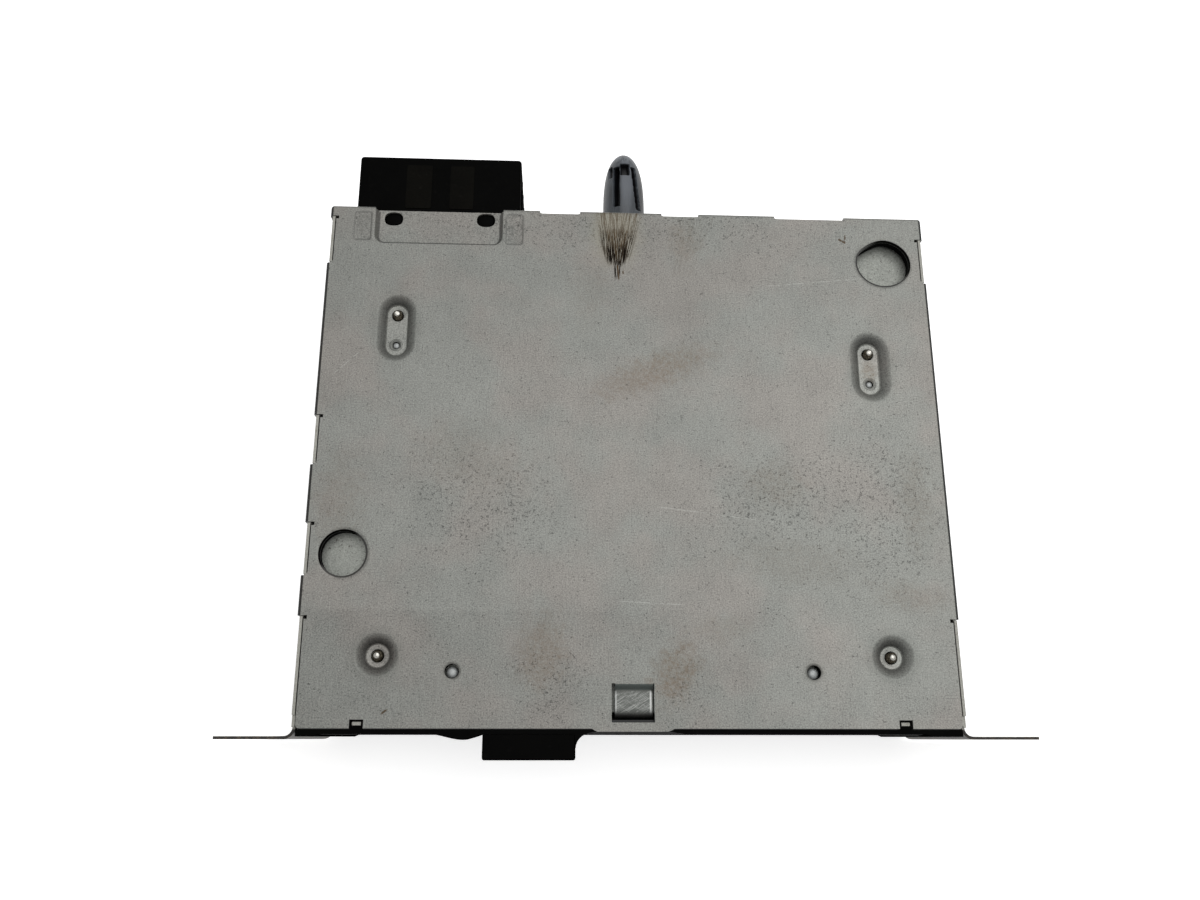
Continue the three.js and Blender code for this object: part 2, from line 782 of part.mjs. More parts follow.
const frontPlugLow = bodyHeight - gap - frontPlugHeight;

// Front connector housing, open towards the front, and its row of contacts
function frontConnector() {
  const level = [frontPlugLow, bodyHeight - gap];
  const housing = block(frontPlugSpan, [overallFront, bezelFront], level);
  const room = block([frontPlugSpan[0] + frontPlugWall, frontPlugSpan[1] - frontPlugWall],
    [overallFront - overrun, bezelFront - frontPlugWall],
    [frontPlugLow + frontPlugWall, bodyHeight - gap - frontPlugWall]);
  return cut(housing, room);
}

add('front_connector', frontConnector(), blackPlastic);

function frontContacts() {
  const back = bezelFront - frontPlugWall;
  const inside = [frontPlugSpan[0] + frontPlugWall + gap, frontPlugSpan[1] - frontPlugWall - gap];
  const low = frontPlugLow + frontPlugWall + gap;
  let made = block(inside, [back - pinCarrier, back], [low, low + 2 * pinThickness]);
  const step = (inside[1] - inside[0]) / frontPinCount;
  for (let i = 0; i < frontPinCount; i += 1) {
    const x = inside[0] + (i + 1 / 2) * step;
    const pin = block([x - pinThickness / 2, x + pinThickness / 2],
      [back - pinCarrier - frontPinLength, back - pinCarrier / 2],
        [low + pinThickness / 2, low + pinThickness * 3 / 2]);
    made = join(made, pin);
  }
  return made;
}

add('front_contacts', frontContacts(), brassTone);

const harnessRear = rearOut + harnessReach;
const harnessFloor = rearIn;

// Harness connector housing, open towards the rear, on the main board
function harnessConnector() {
  const housing = block(harnessSpan, [rearIn - harnessRoot, harnessRear], [boardTop, harnessTop]);
  const room = block([harnessSpan[0] + harnessWall, harnessSpan[1] - harnessWall],
    [harnessFloor, harnessRear + overrun],
    [boardTop + harnessWall, harnessTop - harnessWall]);
  let made = cut(housing, room);
  for (const share of catchShares) {
    const [x, y] = onCover(share);
    const bump = slab('z', oblong([x, y], catchHoleReach - gap, 0),
      [harnessTop - gap, harnessTop + gap + sheet]);
    made = join(made, bump);
  }
  return made;
}

add('harness_connector', harnessConnector(), blackPlastic);

function harnessContacts() {
  const inside = [harnessSpan[0] + harnessWall + gap, harnessSpan[1] - harnessWall - gap];
  const level = [boardTop + harnessWall + gap, harnessTop - harnessWall - gap];
  let made = block(inside, [harnessFloor, harnessFloor + pinCarrier], level);
  const across = (inside[1] - inside[0]) / bladeColumns;
  const rise = (level[1] - level[0]) / bladeRows;
  for (let i = 0; i < bladeColumns; i += 1) {
    for (let j = 0; j < bladeRows; j += 1) {
      const [x, z] = [inside[0] + (i + 1 / 2) * across, level[0] + (j + 1 / 2) * rise];
      made = join(made, block([x - bladeWidth / 2, x + bladeWidth / 2],
        [harnessFloor, harnessFloor + harnessPinLength],
        [z - pinThickness / 2, z + pinThickness / 2]));
    }
  }
  return made;
}

add('harness_contacts', harnessContacts(), brassTone);

// Locating peg: a bullet with two long slots, on a stud through the rear wall
function rearPeg() {
  const profile = [[0, rearOut], [pegRadius, rearOut], [pegRadius, rearOut + pegStraight]];
  const nose = pegLength - pegStraight;
  for (const share of pegNoseShares) {
    const radius = pegTipRadius + (pegRadius - pegTipRadius) * Math.sqrt(1 - share * share);
    profile.push([radius, rearOut + pegStraight + share * nose]);
  }
  profile.push([pegTipRadius / 2, overallRear], [0, overallRear]);
  const bullet = turned('y', [0, pegHeight], profile);
  const stud = rod('y', [0, pegHeight], pegStud, [rearIn - pegStudLength, rearOut + pegStud]);
  let made = join(bullet, stud);
  for (const side of [-1, 1]) {
    const middle = side * pegRadius / 2;
    made = cut(made, block([middle - pegSlotWidth / 2, middle + pegSlotWidth / 2],
      [rearOut + pegStud, rearOut + pegStud + pegSlotLength],
      [pegHeight + pegRadius - pegSlotDepth, pegHeight + pegRadius + overrun]));
  }
  return made;
}

add('rear_peg', rearPeg(), greyPlastic);

function pegNut() {
  const outline = circle([0, pegHeight], nutAcross / Math.sqrt(3), 6);
  const nut = slab('y', outline, [rearIn - nutHeight, rearIn]);
  return cut(nut, rod('y', [0, pegHeight], pegStud + gap, [rearIn - nutHeight - overrun, rearIn + overrun]));
}

add('peg_nut', pegNut(), darkSteel);

// Main board on the tabs of the side walls
function mainBoard() {
  const half = wallIn - boardInset;
  const board = block([-half, half], [boardFront, rearIn - gap], [boardUnder, boardTop]);
  const holes = boardScrewPlaces.map(([x, y]) => rod('z', [x, y], boardScrewRadius + gap,
    [boardUnder - overrun, boardTop + overrun]));
  return cut(board, ...holes);
}

const boardScrewPlaces = [-1, 1].flatMap((side) => boardTabShares.map(
  (share) => [side * (wallIn - boardTabReach / 2), share * bodyDepth],
));

add('main_board', mainBoard(), boardGreen);

// A pan-head screw along Z, with its head on top or underneath
function screwUp([x, y], seat, radius, length) {
  return turned('z', [x, y], [
    [0, seat - screwHeadHeight], [screwHeadRadius * 4 / 5, seat - screwHeadHeight],
    [screwHeadRadius, seat - screwHeadHeight / 2], [screwHeadRadius, seat], [radius, seat],
    [radius, seat + length - radius], [radius / 3, seat + length], [0, seat + length],
  ], roundSides);
}

function screwDown([x, y], seat, radius, length) {
  return turned('z', [x, y], [
    [0, seat - length], [radius / 3, seat - length], [radius, seat - length + radius], [radius, seat],
    [screwHeadRadius, seat], [screwHeadRadius, seat + screwHeadHeight / 2],
    [screwHeadRadius * 4 / 5, seat + screwHeadHeight], [0, seat + screwHeadHeight],
  ], roundSides);
}

boardScrewPlaces.forEach((place, i) => {
  add(`board_screw_${i + 1}`, screwDown(place, boardTop, boardScrewRadius, boardScrewLength), darkSteel);
});

for (const screw of mechScrews) {
  const length = recessFloor - carrierUnder + mechScrewTip;
  add(screw.name, screwUp(screwPlace(screw), carrierUnder, mechScrewRadius, length), darkSteel);
}

// Parts soldered to the board
function processorChip() {
  const [x, y] = onCover(chipShare);
  const body = block([x - chipSize / 2, x + chipSize / 2], [y - chipSize / 2, y + chipSize / 2],
    [boardTop + gap, boardTop + gap + chipHeight]);
  const reach = chipSize / 2 + chipLegReach;
  const legs = block([x - reach, x + reach], [y - reach, y + reach], [boardTop, boardTop + 2 * gap]);
  return join(body, legs);
}

add('processor_chip', processorChip(), blackPlastic);

function capacitor([x, y], radius, height) {
  const top = boardTop + height;
  return turned('z', [x, y], [
    [0, boardTop], [radius, boardTop], [radius, boardTop + radius / 3],
    [radius - capGroove, boardTop + radius / 2], [radius, boardTop + radius * 2 / 3], [radius, top - capGroove],
    [radius - capGroove, top], [0, top],
  ], roundSides);
}

capShares.forEach((share, i) => {
  add(`capacitor_${i + 1}`, capacitor(onCover(share), bigCapRadius, bigCapHeight), blackPlastic);
});

const sinkMiddle = sinkXShare * bodyWidth;
const sinkFront = rearIn - sinkDepth;

// Heat sink against the rear wall, its fins upright
function heatSink() {
  const across = [sinkMiddle - sinkWidth / 2, sinkMiddle + sinkWidth / 2];
  const level = [boardTop, boardTop + sinkHeight];
  let sink = block(across, [sinkFront, rearIn], level);
  const pitch = sinkWidth / finCount;
  for (let i = 1; i < finCount; i += 1) {
    const x = across[0] + i * pitch;
    const groove = block([x - pitch / 4, x + pitch / 4], [sinkFront + sinkDepth - finDepth, rearIn + overrun],
      [boardTop - overrun, boardTop + sinkHeight + overrun]);
    sink = cut(sink, groove);
  }
  return sink;
}

add('heat_sink', heatSink(), aluminium);

const ampLow = boardTop + ampThickness / 2;

function amplifierChip() {
  const body = block([sinkMiddle - ampWidth / 2, sinkMiddle + ampWidth / 2],
    [sinkFront - ampThickness, sinkFront],
    [ampLow, ampLow + ampHeight]);
  const leads = block([sinkMiddle - ampWidth * 2 / 5, sinkMiddle + ampWidth * 2 / 5],
    [sinkFront - ampThickness * 3 / 4, sinkFront - ampThickness / 2], [boardTop, ampLow + pinThickness]);
  return join(body, leads);
}

add('amplifier_chip', amplifierChip(), blackPlastic);

// A spring clip that presses the amplifier chip to the heat sink and hooks over its top
function amplifierClip() {
  const top = boardTop + sinkHeight;
  const face = sinkFront - ampThickness;
  const outline = [
    [face, ampLow + ampHeight / 2], [face - clipThickness, ampLow + ampHeight / 2],
    [face - clipThickness, ampLow + ampHeight],
      [sinkFront - 2 * clipThickness, ampLow + ampHeight + 2 * clipThickness],
    [sinkFront - 2 * clipThickness, top + clipThickness], [sinkFront + sinkDepth / 4, top + clipThickness],
    [sinkFront + sinkDepth / 4, top], [sinkFront - clipThickness, top],
    [sinkFront - clipThickness, ampLow + ampHeight + clipThickness], [face, ampLow + ampHeight + gap],
  ];
  return slab('x', outline, [sinkMiddle - clipWidth / 2, sinkMiddle + clipWidth / 2]);
}

add('amplifier_clip', amplifierClip(), darkSteel);

// Flat ribbon from the tray's rear edge down to its socket on the board
const socketPlace = onCover(socketShare);

function ribbonSocket() {
  const [x, y] = socketPlace;
  const body = block([x - socketWidth / 2, x + socketWidth / 2], [y - socketDepth / 2, y + socketDepth / 2],
    [boardTop, boardTop + socketHeight]);
  const mouth = block([x - ribbonWidth / 2 - gap, x + ribbonWidth / 2 + gap],
    [y - ribbonThickness / 2 - gap, y + ribbonThickness / 2 + gap],
    [boardTop + socketHeight / 2, boardTop + socketHeight + overrun]);
  return cut(body, mouth);
}

add('ribbon_socket', ribbonSocket(), whitePlastic);

function ribbonCable() {
  const [x, y] = socketPlace;
  const foot = boardTop + socketHeight / 2 + gap;
  const over = trayTop + ribbonThickness;
  const outline = [
    [y - ribbonThickness / 2, foot], [y + ribbonThickness / 2, foot], [y + ribbonThickness / 2, over],
    [trayRear - socketDepth * 2, over], [trayRear - socketDepth * 2, trayTop],
      [y - ribbonThickness / 2, trayTop],
  ];
  return slab('x', outline, [x - ribbonWidth / 2, x + ribbonWidth / 2]);
}

add('ribbon_cable', ribbonCable(), whitePlastic);

// Mechanism frame: a carrier plate under the cover, two cheeks, pads, studs and gear studs
const rollerRise = rollerArmAngle * Math.PI / 180;
const rollerLevel = discUnder - rollerRadius;
const rollerAxis = [rollerPlace, rollerLevel];
const armPivot = [rollerPlace + rollerArmLength * Math.cos(rollerRise),
  rollerLevel - rollerArmLength * Math.sin(rollerRise)];
const idlerDistance = gearTeeth * gearModule;
const idlerAxis = [rollerPlace + idlerDistance * Math.sin(rollerRise),
  rollerLevel + idlerDistance * Math.cos(rollerRise)];
const wheelTilt = wheelSlope * Math.PI / 180;
const wheelDistance = (gearTeeth + pinionTeeth) * gearModule / 2;
const wheelAxis = [idlerAxis[0] + wheelDistance * Math.cos(wheelTilt),
  idlerAxis[1] - wheelDistance * Math.sin(wheelTilt)];
const gearSpan = [gearStart, gearStart + gearWidth];
const wheelSpan = [gearSpan[1] + gap, gearSpan[1] + gap + wheelWidth];
const wormPitchRadius = (wormCrest + wormRoot) / 2;
const wormLevel = wheelAxis[1] - wheelTeeth * wheelModule / 2 - wormPitchRadius;
const wormAxis = [(wheelSpan[0] + wheelSpan[1]) / 2, wormLevel];
const camOuter = cheekLeft - gap;
const camInner = camOuter - camThickness;
const camStuds = camStudShares.map((share) => share * bodyDepth);
const camStudLevel = camTop - 4 * camPin;
const frontStudLevel = rollerLevel - rollerRadius;
const camGuides = [[camStuds[0], frontStudLevel], [camStuds[1], camStudLevel]];

function mechFrame() {
  const half = wallIn - edgeRoom;
  const notchRight = harnessSpan[1] + edgeRoom;
  const outline = [
    [-half, bezelBack + feltThickness + 4 * gap], [half, bezelBack + feltThickness + 4 * gap],
      [half, rearIn - edgeRoom],
    [notchRight, rearIn - edgeRoom], [notchRight, rearIn - harnessRoot - edgeRoom],
      [-half, rearIn - harnessRoot - edgeRoom],
  ];
  let made = slab('z', outline, [carrierUnder, carrierTop]);
  for (const screw of mechScrews) {
    made = join(made, rod('z', screwPlace(screw), padRadius, [carrierUnder, recessFloor - sheet]));
    made = cut(made, rod('z', screwPlace(screw), mechScrewRadius + gap, [carrierUnder - overrun, bodyHeight]));
  }
  made = join(made, block([-cheekLeft - plateThickness, -cheekLeft], [trayFront, trayRear],
    [trayTop, carrierTop]));
  made = join(made, block([cheekRight, cheekRight + plateThickness], [trayFront, trayRear],
    [trayTop, carrierTop]));
  for (const guide of camGuides) made = join(made,
    rod('x', guide, camPin, [-cheekLeft - sheet, -camInner + camPin], smallSides));
  made = join(made, rod('x', idlerAxis, gearStud, [gearSpan[0], cheekRight + sheet], smallSides));
  made = join(made, rod('x', wheelAxis, gearStud, [gearSpan[0], cheekRight + sheet], smallSides));
  for (const side of [-1, 1]) {
    made = join(made, rod('z', [side * leverPivotSpread, leverPivotPlace], leverStud,
      [leverUnder - gap, carrierTop], smallSides));
  }
  return made;
}

const leverOver = carrierUnder - gap;
const leverUnder = leverOver - leverThickness;

add('mech_frame', mechFrame(), steel);

// Tray of the mechanism, with the lugs that carry the roller arm
function mechTray() {
  let tray = block([-cheekLeft - plateThickness, cheekRight + plateThickness], [trayFront, trayRear],
    [trayUnder, trayTop]);
  for (const from of lugPlaces) {
    const lug = block([from, from + plateThickness], [armPivot[0] - pivotLug, armPivot[0] + pivotLug / 2],
      [trayUnder, armPivot[1] + pivotLug]);
    tray = join(tray, lug);
    tray = cut(tray, rod('x', armPivot, camPin + gap, [from - gap, from + plateThickness + gap], smallSides));
  }
  return tray;
}

const lugPlaces = [-rollerPlateLeft + gap, rollerPlateRight + rollerPlateThickness + gap];

add('mech_tray', mechTray(), steel);

// Disc guide: a slippery bar above the roller, ribbed underneath
function discGuide() {
  const low = discOver + guideClearance;
  const front = rollerPlace - guideDepth / 2;
  let guide = block([-guideHalf, guideHalf], [front, front + guideDepth], [low, carrierUnder]);
  for (let i = 0; i < guideRibs; i += 1) {
    const x = -guideHalf + (i + 1 / 2) * 2 * guideHalf / guideRibs;
    const half = guideHalf / guideRibs * 3 / 4;
    guide = cut(guide, block([x - half, x + half], [front + guideDepth / 4, front + guideDepth * 3 / 4],
      [low - overrun, carrierUnder - leverThickness]));
  }
  return guide;
}

add('disc_guide', discGuide(), whitePlastic);

// Feeler levers that the entering disc swings outwards
function feelerLever(side) {
  const pivot = [side * leverPivotSpread, leverPivotPlace];
  const pin = [side * leverPinSpread, leverPinPlace];
  const level = [leverUnder, leverOver];
  let made = join(
    slab('z', strap(pivot, leverHalf, pin, leverHalf * 2 / 3), level),
    rod('z', pin, leverPinRadius, [leverPinFoot, leverOver], smallSides),
  );
  made = cut(made, rod('z', pivot, leverStud + gap, [leverUnder - overrun, leverOver + overrun]));
  return made;
}

add('feeler_lever_left', feelerLever(-1), whitePlastic);
add('feeler_lever_right', feelerLever(1), whitePlastic);

// Dampers between the tray and the deck
const damperTop = deckUnder - deckFloat - gap;
const damperPlaces = [-1, 1].flatMap((side) => [deckFront + damperInset, deckRear - damperInset].map(
  (y) => [side < 0 ? -deckLeft + damperInset : deckRight - damperInset, y],
));

function damper([x, y]) {
  const rise = damperTop - trayTop;
  return turned('z', [x, y], [
    [0, trayTop], [damperRadius, trayTop], [damperRadius, trayTop + rise / 8],
    [damperRadius * 4 / 5, trayTop + rise / 4], [damperRadius * 19 / 20, trayTop + rise / 2],
    [damperNeck, trayTop + rise * 3 / 4], [damperNeck * 5 / 4, damperTop], [damperPin + gap, damperTop],
    [damperPin + gap, trayTop + rise / 4], [0, trayTop + rise / 4],
  ], roundSides);
}

damperPlaces.forEach((place, i) => add(`damper_${i + 1}`, damper(place), rubberBlack));

const rodLevel = deckUnder - rodDrop;
const rodLines = [spindlePlace - rodSpread, spindlePlace + rodSpread];
const rodTabOut = -deckLeft;
const rodTabIn = -sledRest + bushHalf + 2 * gap + sheet;
const leadScrewAxis = [rodLines[1] + screwOffset, deckUnder - screwDrop];
const armPinLevel = armLevel - armPinDrop;

// Deck plate: window for the pickup, rod tabs, damper pins and the clamp arm's upstands
function deckPlate() {
  const outline = [
    [-deckLeft, deckFront], [deckRight, deckFront], [deckRight, deckRear], [deckTailHalf, deckRear],
    [deckTailHalf, clampHinge + pivotLug], [-deckTailHalf, clampHinge + pivotLug], [-deckTailHalf, deckRear],
    [-deckLeft, deckRear],
  ];
  const windowSpan = [-sledRest - sledTravel - sledHalf - gap, -motorRadius - gap];
  const window = rectangle(windowSpan, [spindlePlace - windowHalf, spindlePlace + windowHalf]);
  const collarHole = circle([0, spindlePlace], motorCollar + gap);
  let deck = slab('z', outline, [deckUnder, deckTop], [window, collarHole]);
  for (const line of rodLines) {
    for (const from of [rodTabOut, rodTabIn]) {
      const tab = block([from, from + plateThickness], [line - 2 * rodRadius, line + 2 * rodRadius],
        [rodLevel - 2 * rodRadius, deckTop]);
      const hole = rod('x', [line, rodLevel], rodRadius + gap,
        [from - overrun, from + plateThickness + overrun]);
      deck = join(deck, cut(tab, hole));
    }
  }
  for (const [x, y] of damperPlaces) {
    deck = join(deck, rod('z', [x, y], damperPin, [trayTop + (damperTop - trayTop) / 2, deckTop], smallSides));
  }
  for (const side of [-1, 1]) {
    const across = [side * (armHalf + gap), side * (armHalf + gap + plateThickness)].sort((a, b) => a - b);
    const ear = block(across, [clampHinge - pivotLug, clampHinge + pivotLug],
      [deckUnder, armPinLevel + pivotLug * 2 / 3]);
    deck = join(deck, ear);
  }
  const pinHole = rod('x', [clampHinge, armPinLevel], armPinRadius + gap, [-deckTailHalf, deckTailHalf],
    smallSides);
  const screwTab = block([rodTabOut, rodTabOut + plateThickness],
    [leadScrewAxis[0] - 3 * screwRoot, leadScrewAxis[0] + 3 * screwRoot],
      [leadScrewAxis[1] - 3 * screwRoot, deckTop]);
  const screwHole = rod('x', leadScrewAxis, screwRoot + gap,
    [rodTabOut - overrun, rodTabOut + plateThickness + overrun], smallSides);
  return cut(join(cut(deck, pinHole), screwTab), screwHole);
}

add('deck_plate', deckPlate(), steel);

// Spindle motor under the deck, with its collar and shaft through it
const motorShaftTop = discOver;
add('spindle_motor', turned('z', [0, spindlePlace], [
  [0, deckUnder - motorDepth], [motorRadius * 9 / 10, deckUnder - motorDepth],
  [motorRadius, deckUnder - motorDepth * 7 / 8], [motorRadius, deckUnder], [motorCollar, deckUnder],
  [motorCollar, tableUnder - 2 * gap], [spindleRadius, tableUnder - 2 * gap], [spindleRadius, motorShaftTop],
  [0, motorShaftTop],
]), darkSteel);

add('turntable', turned('z', [0, spindlePlace], [
  [spindleRadius + gap, tableUnder], [tableRadius, tableUnder], [tableRadius, discUnder],
    [hubRadius, discUnder],
  [hubRadius * 4 / 5, discUnder + hubHeight], [spindleRadius + gap, discUnder + hubHeight],
  [spindleRadius + gap, tableUnder],
]), blackPlastic);

['guide_rod_side', 'guide_rod_main'].forEach((name, i) => {
  add(name, rod('x', [rodLines[i], rodLevel], rodRadius, [rodTabOut, rodTabIn + plateThickness]), darkSteel);
});

// Pickup sled: a bridge between the rods with the lens tower through the deck's window
function pickupSled() {
  const level = [rodLevel - sledThickness / 2, rodLevel + sledThickness / 2];
  let sled = block([-sledRest - sledHalf, -sledRest + sledHalf], rodLines, level);
  sled = join(sled, block([-sledRest - sledHalf * 4 / 5, -sledRest + sledHalf * 4 / 5],
    [spindlePlace - towerHalf, spindlePlace + towerHalf], [level[0], towerTop]));
  const reach = rodRadius + gap + plateThickness;
  sled = join(sled, block([-sledRest - bushHalf, -sledRest + bushHalf],
    [rodLines[1] - reach, rodLines[1] + reach],
    [rodLevel - reach, rodLevel + reach - gap]));
  sled = join(sled, block([-sledRest - sledHalf / 2, -sledRest + sledHalf / 2],
    [rodLines[0] - reach, rodLines[0] + reach],
    [rodLevel - reach, rodLevel + reach - gap]));
  const room = holderHalf + holderRoom;
  sled = cut(sled, block([-sledRest - room, -sledRest + room], [spindlePlace - room, spindlePlace + room],
    [towerTop - holderHeight - focusTravel - gap, towerTop + overrun]));
  for (const line of rodLines) {
    sled = cut(sled, rod('x', [line, rodLevel], rodRadius + gap,
      [-sledRest - 2 * bushHalf, -sledRest + 2 * bushHalf]));
  }
  return join(sled, halfNut());
}

// A tooth on the sled that rides in the lead screw's groove
function halfNut() {
  const [y, z] = leadScrewAxis;
  const half = screwLead / 4 - gap;
  const across = [-sledRest - half, -sledRest + half];
  const start = rodLines[1] + rodRadius + 2 * gap;
  const arm = block(across, [start, y + screwRoot], [z + screwCrest + gap, rodLevel + rodRadius]);
  const tooth = block([-sledRest - half / 2, -sledRest + half / 2], [y - screwRoot / 2, y + screwRoot / 2],
    [z + screwRoot + gap, rodLevel]);
  return join(arm, tooth);
}

add('pickup_sled', pickupSled(), blackPlastic);

add('lens_holder', block([-sledRest - holderHalf, -sledRest + holderHalf],
  [spindlePlace - holderHalf, spindlePlace + holderHalf], [towerTop - holderHeight, towerTop]), greyPlastic);

add('objective_lens', turned('z', [-sledRest, spindlePlace], [
  [0, towerTop], [lensRadius, towerTop], [lensRadius * 9 / 10, towerTop + lensRise / 2],
  [lensRadius * 3 / 5, towerTop + lensRise * 7 / 8], [0, towerTop + lensRise],
], roundSides), lensBlue);

// Lead screw and the motor that turns it
const screwEnd = rodTabIn;
add('lead_screw', join(
  threaded('x', leadScrewAxis, screwRoot, screwCrest, screwLead, [rodTabOut + plateThickness + gap, screwEnd],
    -sledRest + screwLead / 4),
  rod('x', leadScrewAxis, screwRoot - gap, [rodTabOut, rodTabOut + 2 * plateThickness], smallSides),
), brassTone);

add('sled_motor', join(
  rod('x', leadScrewAxis, sledMotorRadius, [screwEnd + gap, screwEnd + gap + sledMotorLength]),
  block([screwEnd + gap, screwEnd + gap + sledMotorLength / 2],
    [leadScrewAxis[0] - sledMotorRadius / 2, leadScrewAxis[0] + sledMotorRadius / 2],
      [leadScrewAxis[1], deckUnder]),
), darkSteel);

// Clamp arm, hinged behind the disc, with a side tab down to the cam slide
const followerLevel = armLevel - armPinDrop;

function clampArm() {
  const outline = [
    [-armHalf, clampHinge + armPinRadius], [-armHalf, clampHinge - armHalf], [-armNose, spindlePlace - armNose],
    [armNose, spindlePlace - armNose], [armHalf, clampHinge - armHalf], [armHalf, clampHinge + armPinRadius],
  ];
  const level = [armLevel, armLevel + armThickness];
  let arm = slab('z', outline, level, [circle([0, spindlePlace], clamperNeck + gap * 2)]);
  const tabIn = -camInner + plateThickness + gap;
  const strip = block([tabIn, -armNose / 2 - clamperNeck],
    [followerPlace - followerWidth / 2, followerPlace + followerWidth / 2], level);
  const drop = block([tabIn, tabIn + plateThickness],
    [followerPlace - followerWidth / 2, followerPlace + followerWidth / 2],
    [followerLevel - 2 * camPin, armLevel + armThickness]);
  const pin = rod('x', [followerPlace, followerLevel], camPin, [-camOuter, tabIn + plateThickness], smallSides);
  arm = join(arm, strip, drop, pin);
  for (const side of [-1, 1]) {
    const across = [side * (armHalf - plateThickness), side * armHalf].sort((a, b) => a - b);
    const ear = block(across, [clampHinge - pivotLug, clampHinge + armPinRadius * 2],
      [armPinLevel - 2 * armPinRadius, armLevel + armThickness]);
    arm = join(arm, ear);
  }
  const hole = rod('x', [clampHinge, armPinLevel], armPinRadius + gap,
    [-armHalf - overrun, armHalf + overrun], smallSides);
  return cut(arm, hole);
}

add('clamp_arm', clampArm(), steel);
add('clamp_pin', rod('x', [clampHinge, armPinLevel], armPinRadius,
  [-armHalf - 2 * gap - plateThickness, armHalf + 2 * gap + plateThickness]), darkSteel);

const clamperUnder = discOver + clampDrop;
const clamperCapUnder = armLevel + armThickness + gap;
add('clamper', turned('z', [0, spindlePlace], [
  [0, clamperUnder + clamperRecess], [hubRadius + 2 * gap, clamperUnder + clamperRecess],
  [hubRadius + 2 * gap, clamperUnder], [clamperRadius, clamperUnder],
    [clamperRadius, clamperUnder + clamperThickness],
  [clamperNeck, clamperUnder + clamperThickness], [clamperNeck, clamperCapUnder], [clamperCap, clamperCapUnder],
  [clamperCap, clamperCapUnder + clamperCapThickness], [0, clamperCapUnder + clamperCapThickness],
]), whitePlastic);

// Roller arm: two plates on pivots joined by a bar, with a follower pin in the cam slide
const rollerSwing = rollerDrop / rollerArmLength;
const followerShare = 2 / 3;
const rollerFollower = [armPivot[0] + (rollerAxis[0] - armPivot[0]) * followerShare,
  armPivot[1] + (rollerAxis[1] - armPivot[1]) * followerShare];

function rollerArm() {
  const plates = [[-rollerPlateLeft - rollerPlateThickness, -rollerPlateLeft],
    [rollerPlateRight, rollerPlateRight + rollerPlateThickness]];
  const along = [Math.cos(rollerRise), -Math.sin(rollerRise)];
  const outline = strap(rollerAxis, pivotLug, armPivot, pivotLug / 2);
  let arm = null;
  for (const span of plates) arm = arm ? join(arm, slab('x', outline, span)) : slab('x', outline, span);
  const bar = [rollerAxis[0] + along[0] * rollerArmLength / 2, rollerAxis[1] + along[1] * rollerArmLength / 2];
  arm = join(arm, block([-rollerPlateLeft - sheet, rollerPlateRight + sheet],
    [bar[0] - rollerBarWidth / 2, bar[0] + rollerBarWidth / 2],
      [bar[1] - plateThickness / 2, bar[1] + plateThickness / 2]));
  arm = cut(arm, rod('x', rollerAxis, shaftRadius + gap, [-cheekLeft, cheekRight]));
  arm = join(arm, rod('x', armPivot, camPin, [-rollerPlateLeft - sheet, lugPlaces[0] + plateThickness],
    smallSides));
  arm = join(arm, rod('x', armPivot, camPin, [rollerPlateRight + plateThickness - sheet,
    lugPlaces[1] + plateThickness], smallSides));
  return join(arm, rod('x', rollerFollower, camPin,
    [-camOuter, -rollerPlateLeft - plateThickness + sheet], smallSides));
}

add('roller_arm', rollerArm(), steel);

// Roller: a steel shaft, a rubber sleeve with a slight waist, and a gear at the right end
add('roller_shaft', rod('x', rollerAxis, shaftRadius,
  [-rollerPlateLeft - rollerPlateThickness, gearSpan[1]]), darkSteel);

function rollerRubber() {
  const profile = [[shaftRadius + gap, -rollerHalf], [rollerRadius, -rollerHalf],
    [rollerWaist, -rollerHalf / 4],
    [rollerWaist, rollerHalf / 4], [rollerRadius, rollerHalf], [shaftRadius + gap, rollerHalf],
    [shaftRadius + gap, -rollerHalf]];
  return turned('x', rollerAxis, profile, roundSides);
}

add('roller_rubber', rollerRubber(), rubberBlack);

// Gears: each pair has a tooth of one on the line of centres and a gap of the other
function gear(centre, teeth, module, angle, span, bore) {
  return cut(slab('x', gearOutline(centre, teeth, module, angle), span),
    rod('x', centre, bore, [span[0] - overrun, span[1] + overrun], smallSides));
}

const toIdler = Math.atan2(idlerAxis[1] - rollerAxis[1], idlerAxis[0] - rollerAxis[0]);
const toWheel = Math.atan2(wheelAxis[1] - idlerAxis[1], wheelAxis[0] - idlerAxis[0]);
const gearStep = 2 * Math.PI / gearTeeth;
const pinionStep = 2 * Math.PI / pinionTeeth;
const idlerTurn = toIdler + Math.PI + gearStep / 2;
const idlerAtWheel = (toWheel - idlerTurn) / gearStep;
const idlerShift = (idlerAtWheel - Math.round(idlerAtWheel)) * pinionStep;

add('roller_gear', gear(rollerAxis, gearTeeth, gearModule, toIdler, gearSpan, shaftRadius + gap), whitePlastic);
add('idler_gear', gear(idlerAxis, gearTeeth, gearModule, idlerTurn, gearSpan, gearStud + gap), whitePlastic);

const wormPitch = Math.PI * wheelModule;
const wheelFirst = -Math.PI / 2 + Math.PI / wheelTeeth;

function wormWheel() {
  const pinionTurn = toWheel + Math.PI + pinionStep / 2 + idlerShift;
  const pinion = slab('x', gearOutline(wheelAxis, pinionTeeth, gearModule, pinionTurn),
    [gearSpan[0], wheelSpan[0] + gap]);
  const wheel = slab('x', gearOutline(wheelAxis, wheelTeeth, wheelModule, wheelFirst), wheelSpan);
  const bore = rod('x', wheelAxis, gearStud + gap, [gearSpan[0] - overrun, wheelSpan[1] + overrun], smallSides);
  return cut(join(pinion, wheel), bore);
}

add('worm_wheel', wormWheel(), whitePlastic);

